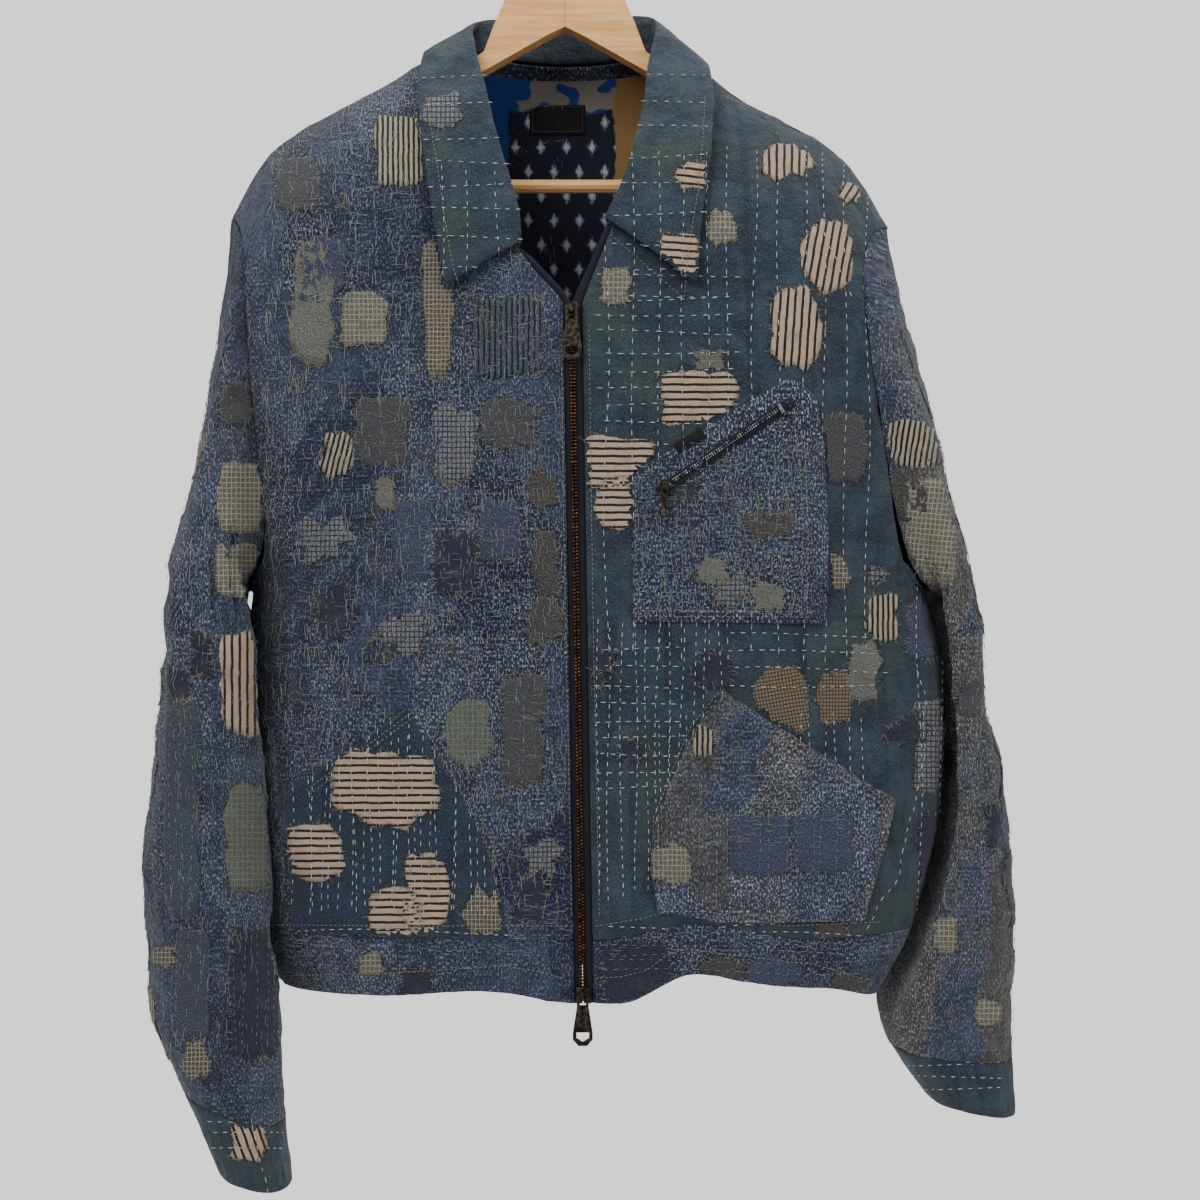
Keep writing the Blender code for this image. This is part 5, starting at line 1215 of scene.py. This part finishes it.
def lay_darns(materials):
    """Many fine loose threads lying on the worn cloth."""
    tree, owners = cloth_tree()
    dice = random.Random(23)
    bm = bmesh.new()
    for field in DARNS:
        for _ in range(field["count"]):
            x = dice.uniform(field["x0"], field["x1"])
            z = dice.uniform(field["z1"], field["z0"])
            lean = math.radians(field["lean"] + dice.uniform(-13, 13))
            length = field["length"] * dice.uniform(0.5, 1.5)
            bend = dice.uniform(-0.08, 0.08)
            thin = dice.uniform(0.12, 0.22) * MM
            tone = dice.choice((0, 1, 1, 1))
            rings = []
            host = None
            for step in range(5):
                along = (step / 4 - 0.5) * length
                off = bend * length * math.cos(step * 1.5)
                hit = cast(tree, field["view"], x + along * math.sin(lean) + off * math.cos(lean),
                           z + along * math.cos(lean) - off * math.sin(lean))
                if hit[0] is None or owners[hit[2]] not in DIM_HOSTS or host not in (None, owners[hit[2]]):
                    break
                host = owners[hit[2]]
                rings.append((hit[0] + hit[1] * (0.5 + 0.7 * math.sin(step / 4 * math.pi)) * MM, hit[1]))
            if len(rings) < 5:
                continue
            made = []
            for index, (spot, up) in enumerate(rings):
                way = (rings[min(index + 1, 4)][0] - rings[max(index - 1, 0)][0]).normalized()
                side = way.cross(up).normalized()
                made.append(thread_ring(bm, spot, side, up, thin))
            join_rings(bm, made, tone)
    mesh_object("darned_threads", bm, (materials["fray"], materials["thread_dim"]))


# Zips, label and hanger

CHAIN_FOOT = -826.5
CHAIN_TOP = -357.5
MAIN_PITCH = 2.4
CHEST_PITCH = 1.8


def zip_line(offset, sink, low):
    """Points down the middle of the main chain, in metres, read off the chain's own solid."""
    chain = bpy.data.objects["zip_chain"].data
    points = mesh_points(chain)
    heights = np.unique(np.round(points[:, 2], 1))
    front = np.array([points[np.abs(points[:, 2] - z) < 0.3][:, 1].min() for z in heights])
    middle = np.array([points[np.abs(points[:, 2] - z) < 0.3][:, 0].mean() for z in heights])
    z = np.linspace(low, CHAIN_TOP, 160)
    x = np.interp(z, heights, middle) + offset
    y = np.interp(z, heights, front) + sink
    return [Vector(place) * MM for place in zip(x, y, z)]


def slanted_line(offset):
    """Points along the chest zip's tape, in metres, on its own outer face."""
    tape = bpy.data.objects["cloth_chest_zip_tape"].data
    points = np.array([vert.co for vert in tape.vertices])
    start, end = np.array((66.0, -479.5)) * MM, np.array((158.0, -417.0)) * MM
    across = np.array((end[1] - start[1], start[0] - end[0]))
    across = across / np.linalg.norm(across) * offset * MM
    line = []
    for share in np.linspace(0.06, 0.93, 60):
        place = start + (end - start) * share + across
        near = np.hypot(points[:, 0] - place[0], points[:, 2] - place[1]) < 0.004
        line.append(Vector((place[0], points[near, 1].min() - 0.0004, place[1])))
    return line


def make_zips(materials):
    """Teeth on both zips, and the chain's two sides that mesh in the middle."""
    for end, side, shift in (("a", -1, 0.0), ("b", 1, 0.5)):
        line = zip_line(side * 1.15, 0.9, CHAIN_FOOT + shift * MAIN_PITCH)
        row = repeat_along("main_teeth_" + end, [line], "tooth", MAIN_PITCH, (1.25, 3.4, 1.7),
                           materials["teeth"])
        bevel_corners(row)
    for end, side in (("a", -1), ("b", 1)):
        repeat_along("chest_teeth_" + end, [slanted_line(side * 0.8)], "tooth", CHEST_PITCH, (0.9, 1.9, 1.0),
                     materials["silver"])


def bevel_corners(piece):
    """Round a row of teeth a little."""
    bm = bmesh.new()
    bm.from_mesh(piece.data)
    bmesh.ops.bevel(bm, geom=bm.edges[:], offset=0.00022, segments=1, affect="EDGES")
    bm.to_mesh(piece.data)
    bm.free()


def label_frame(materials):
    """A stitched frame on the bare neck label."""
    label = bpy.data.objects["cloth_neck_label"].data
    points = np.array([vert.co for vert in label.vertices])
    corners = ((-26.5, -187.6), (12.5, -187.6), (12.5, -168.4), (-26.5, -168.4), (-26.5, -187.6))
    line = []
    for here, there in zip(corners, corners[1:]):
        for share in np.linspace(0.0, 1.0, 14)[:-1]:
            x = (here[0] + (there[0] - here[0]) * share) * MM
            z = (here[1] + (there[1] - here[1]) * share) * MM
            near = np.hypot(points[:, 0] - x, points[:, 2] - z) < 0.005
            line.append(Vector((x, points[near, 1].min() - 0.0003, z)))
    repeat_along("label_frame", [line], "stitch", 2.2, (1.7, 0.5, 0.4), materials["label_thread"], 0.1)


def dress_hard_parts(materials):
    """Give the hanger and the metal pieces of the frame their materials."""
    looks = {
        "hanger_arm_left": "wood", "hanger_arm_right": "wood", "hanger_bar": "wood", "hanger_hook": "steel",
        "hook_ferrule": "steel", "zip_slider_top": "tab", "zip_slider_bottom": "tab", "zip_pull_top": "tab",
        "zip_pull_bottom": "tab", "chest_zip_slider": "tab", "chest_pull": "tab", "chest_zip_stop": "silver",
    }
    for name, look in looks.items():
        piece = bpy.data.objects[name]
        piece.data.materials.clear()
        piece.data.materials.append(materials[look])


# The stage

FLOOR_HEIGHT = -1.42
FLOOR_SIDES = 96
LIGHTS = table(
    "name place aim size power",
    ("key_light", (-1.0, -1.9, 0.75), (0.0, 0.0, -0.5), 1.3, 38.0),
    ("fill_light", (1.6, -1.5, -0.1), (0.05, 0.0, -0.55), 1.6, 17.0),
    ("top_light", (0.1, -0.3, 1.25), (0.0, 0.0, -0.4), 1.4, 20.0),
    ("back_light", (0.6, 1.9, 0.6), (0.0, 0.0, -0.5), 1.5, 26.0),
)
SKY_LIGHT = ((0.86, 0.89, 0.93, 1.0), 0.5)
SKY_WALL = ((0.86, 0.865, 0.86, 1.0), 1.55)


def make_floor():
    """A round pale floor far below the hem."""
    bm = bmesh.new()
    turns = [math.tau * step / FLOOR_SIDES for step in range(FLOOR_SIDES)]
    bm.faces.new([bm.verts.new((math.cos(turn), math.sin(turn), FLOOR_HEIGHT)) for turn in turns])
    made, put = new_material("pale studio floor")
    tint = put("TexNoise", object_coords(put), 0.002)
    base = put("Mix", tint, colour("floor"), put("Mix", 0.06, colour("floor"), colour("silver")))
    finish_shader(made, base, tint, rough=0.95, lift=0.01, sheen=0.0)
    mesh_object("floor", bm, [made])


def make_sky():
    """A world that lights softly, and looks like a pale wall to the camera."""
    world = bpy.data.worlds.new("studio")
    world.use_nodes = True
    sky = world.node_tree
    light = sky.nodes["Background"]
    for socket, value in zip(light.inputs, SKY_LIGHT):
        socket.default_value = value
    wall = node(sky, "Background", *SKY_WALL)
    both = sky.nodes.new("ShaderNodeMixShader")
    path = sky.nodes.new("ShaderNodeLightPath")
    for socket, value in zip(both.inputs, (path.outputs["Is Camera Ray"], light.outputs[0], wall)):
        fill(sky, socket, value)
    sky.links.new(both.outputs[0], sky.nodes["World Output"].inputs[0])
    bpy.context.scene.world = world


def make_stage():
    """The floor, soft lights, the world and the photograph's camera."""
    make_floor()
    make_sky()
    for row in LIGHTS:
        light = bpy.data.lights.new(row["name"], "AREA")
        light.shape = "SQUARE"
        light.size = row["size"]
        light.energy = row["power"]
        lamp = new_object(row["name"], light)
        lamp.location = row["place"]
        aim = Vector(row["aim"]) - Vector(row["place"])
        lamp.rotation_euler = aim.to_track_quat("-Z", "Y").to_euler()
    lens = bpy.data.cameras.new("camera")
    lens.angle = math.radians(CAMERA_FOV)
    eye = new_object("camera", lens)
    eye.location = CAMERA_PLACE
    eye.rotation_euler = (math.radians(90), 0.0, 0.0)
    bpy.context.scene.camera = eye


# Hiding the frame's solids and attaching the made pieces to the jacket's body


def tell_pieces():
    for row in CLOTH:
        name = row["node"]
        piece = bpy.data.objects["cloth_" + name]
        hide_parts(name)
        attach(piece, "jacket")
        names = ("patches_" + name, "frays_" + name)
        on_it = [bpy.data.objects[extra] for extra in names if extra in bpy.data.objects]
        for extra in on_it:
            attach(extra, "jacket")
    for piece in bpy.data.objects:
        if piece.name.startswith(("stitches_", "topstitching", "label_frame", "darned_")):
            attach(piece, "jacket")
        if piece.name.startswith(("main_teeth", "chest_teeth")):
            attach(piece, "jacket")
    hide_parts("zip_chain")


# The add-on

def shade_setting(key, label, note):
    """A colour in the sidebar, with the table's colour as its default."""
    return bpy.props.FloatVectorProperty(name=label, description=note, default=linear(HEX[key]),
                                         subtype="COLOR", size=4, min=0.0, max=1.0)


class JacketSettings(bpy.types.PropertyGroup):
    """How the cloth is creased and sewn, and its main colours."""
    crease: bpy.props.FloatProperty(
        name="Creases", description="Depth of the cloth's creases, 1 as in the photograph",
        default=1.0, min=0.0, max=2.0, subtype="FACTOR")
    thread: bpy.props.FloatProperty(
        name="Thread", description="Thickness of the running stitches, 1 as in the photograph",
        default=1.0, min=0.2, max=2.0, subtype="FACTOR")
    teal: shade_setting("teal", "Teal cotton", "Ground of the left front, collar and cuffs")
    stitch: shade_setting("stitch", "White thread", "Thread of the bright running stitches")
    thread_dim: shade_setting("thread_dim", "Grey thread", "Thread of the dim running stitches")
    teeth: shade_setting("teeth", "Main teeth", "Copper of the main zip's teeth")
    wood: shade_setting("wood", "Wood", "Beech of the hanger")


class JACKET_OT_cloth(bpy.types.Operator):
    """Make every cloth piece from its solid"""
    bl_idname = "jacket.cloth"
    bl_label = "Cloth"

    def execute(self, context):
        for row in CLOTH:
            make_cloth(dict(row, wave=row["wave"] * context.scene.jacket.crease), MATERIALS)
        return {"FINISHED"}


class JACKET_OT_patches(bpy.types.Operator):
    """Lay the patches, the mended windows and their frayed edges"""
    bl_idname = "jacket.patches"
    bl_label = "Patches"

    def execute(self, context):
        lay_patches(MATERIALS)
        return {"FINISHED"}


class JACKET_OT_stitches(bpy.types.Operator):
    """Sew the running stitches, the topstitching and the label's frame"""
    bl_idname = "jacket.stitches"
    bl_label = "Stitches"

    def execute(self, context):
        lay_stitches(MATERIALS)
        lay_darns(MATERIALS)
        label_frame(MATERIALS)
        return {"FINISHED"}


class JACKET_OT_zips(bpy.types.Operator):
    """Set the teeth of both zips"""
    bl_idname = "jacket.zips"
    bl_label = "Zips"

    def execute(self, context):
        make_zips(MATERIALS)
        return {"FINISHED"}


class JACKET_OT_hard_parts(bpy.types.Operator):
    """Dress the hanger, sliders and pulls"""
    bl_idname = "jacket.hard_parts"
    bl_label = "Hanger and metal"

    def execute(self, context):
        dress_hard_parts(MATERIALS)
        return {"FINISHED"}


class JACKET_OT_stage(bpy.types.Operator):
    """Set the floor, lights and camera"""
    bl_idname = "jacket.stage"
    bl_label = "Stage"

    def execute(self, context):
        make_stage()
        return {"FINISHED"}


class JACKET_PT_panel(bpy.types.Panel):
    """The sidebar panel with one button for each step"""
    bl_label = "Jacket"
    bl_idname = "JACKET_PT_panel"
    bl_space_type = "VIEW_3D"
    bl_region_type = "UI"
    bl_category = "Jacket"

    def draw(self, context):
        for name in JacketSettings.__annotations__:
            self.layout.prop(context.scene.jacket, name)
        for step in STEPS:
            self.layout.operator(step.bl_idname)


STEPS = (JACKET_OT_cloth, JACKET_OT_patches, JACKET_OT_stitches, JACKET_OT_zips, JACKET_OT_hard_parts,
         JACKET_OT_stage)
MATERIALS = {}


def register():
    """Register the settings, the operators and the panel."""
    bpy.utils.register_class(JacketSettings)
    for step in STEPS + (JACKET_PT_panel,):
        bpy.utils.register_class(step)
    bpy.types.Scene.jacket = bpy.props.PointerProperty(type=JacketSettings)


def unregister():
    """Undo register."""
    del bpy.types.Scene.jacket
    for step in reversed((JacketSettings,) + STEPS + (JACKET_PT_panel,)):
        bpy.utils.unregister_class(step)


def main():
    """Build the visual model on the frame."""
    register()
    MATERIALS.update(make_materials())
    for step in ("cloth", "patches", "stitches", "zips", "hard_parts", "stage"):
        getattr(bpy.ops.jacket, step)()
    tell_pieces()


if __name__ == "__main__":
    main()
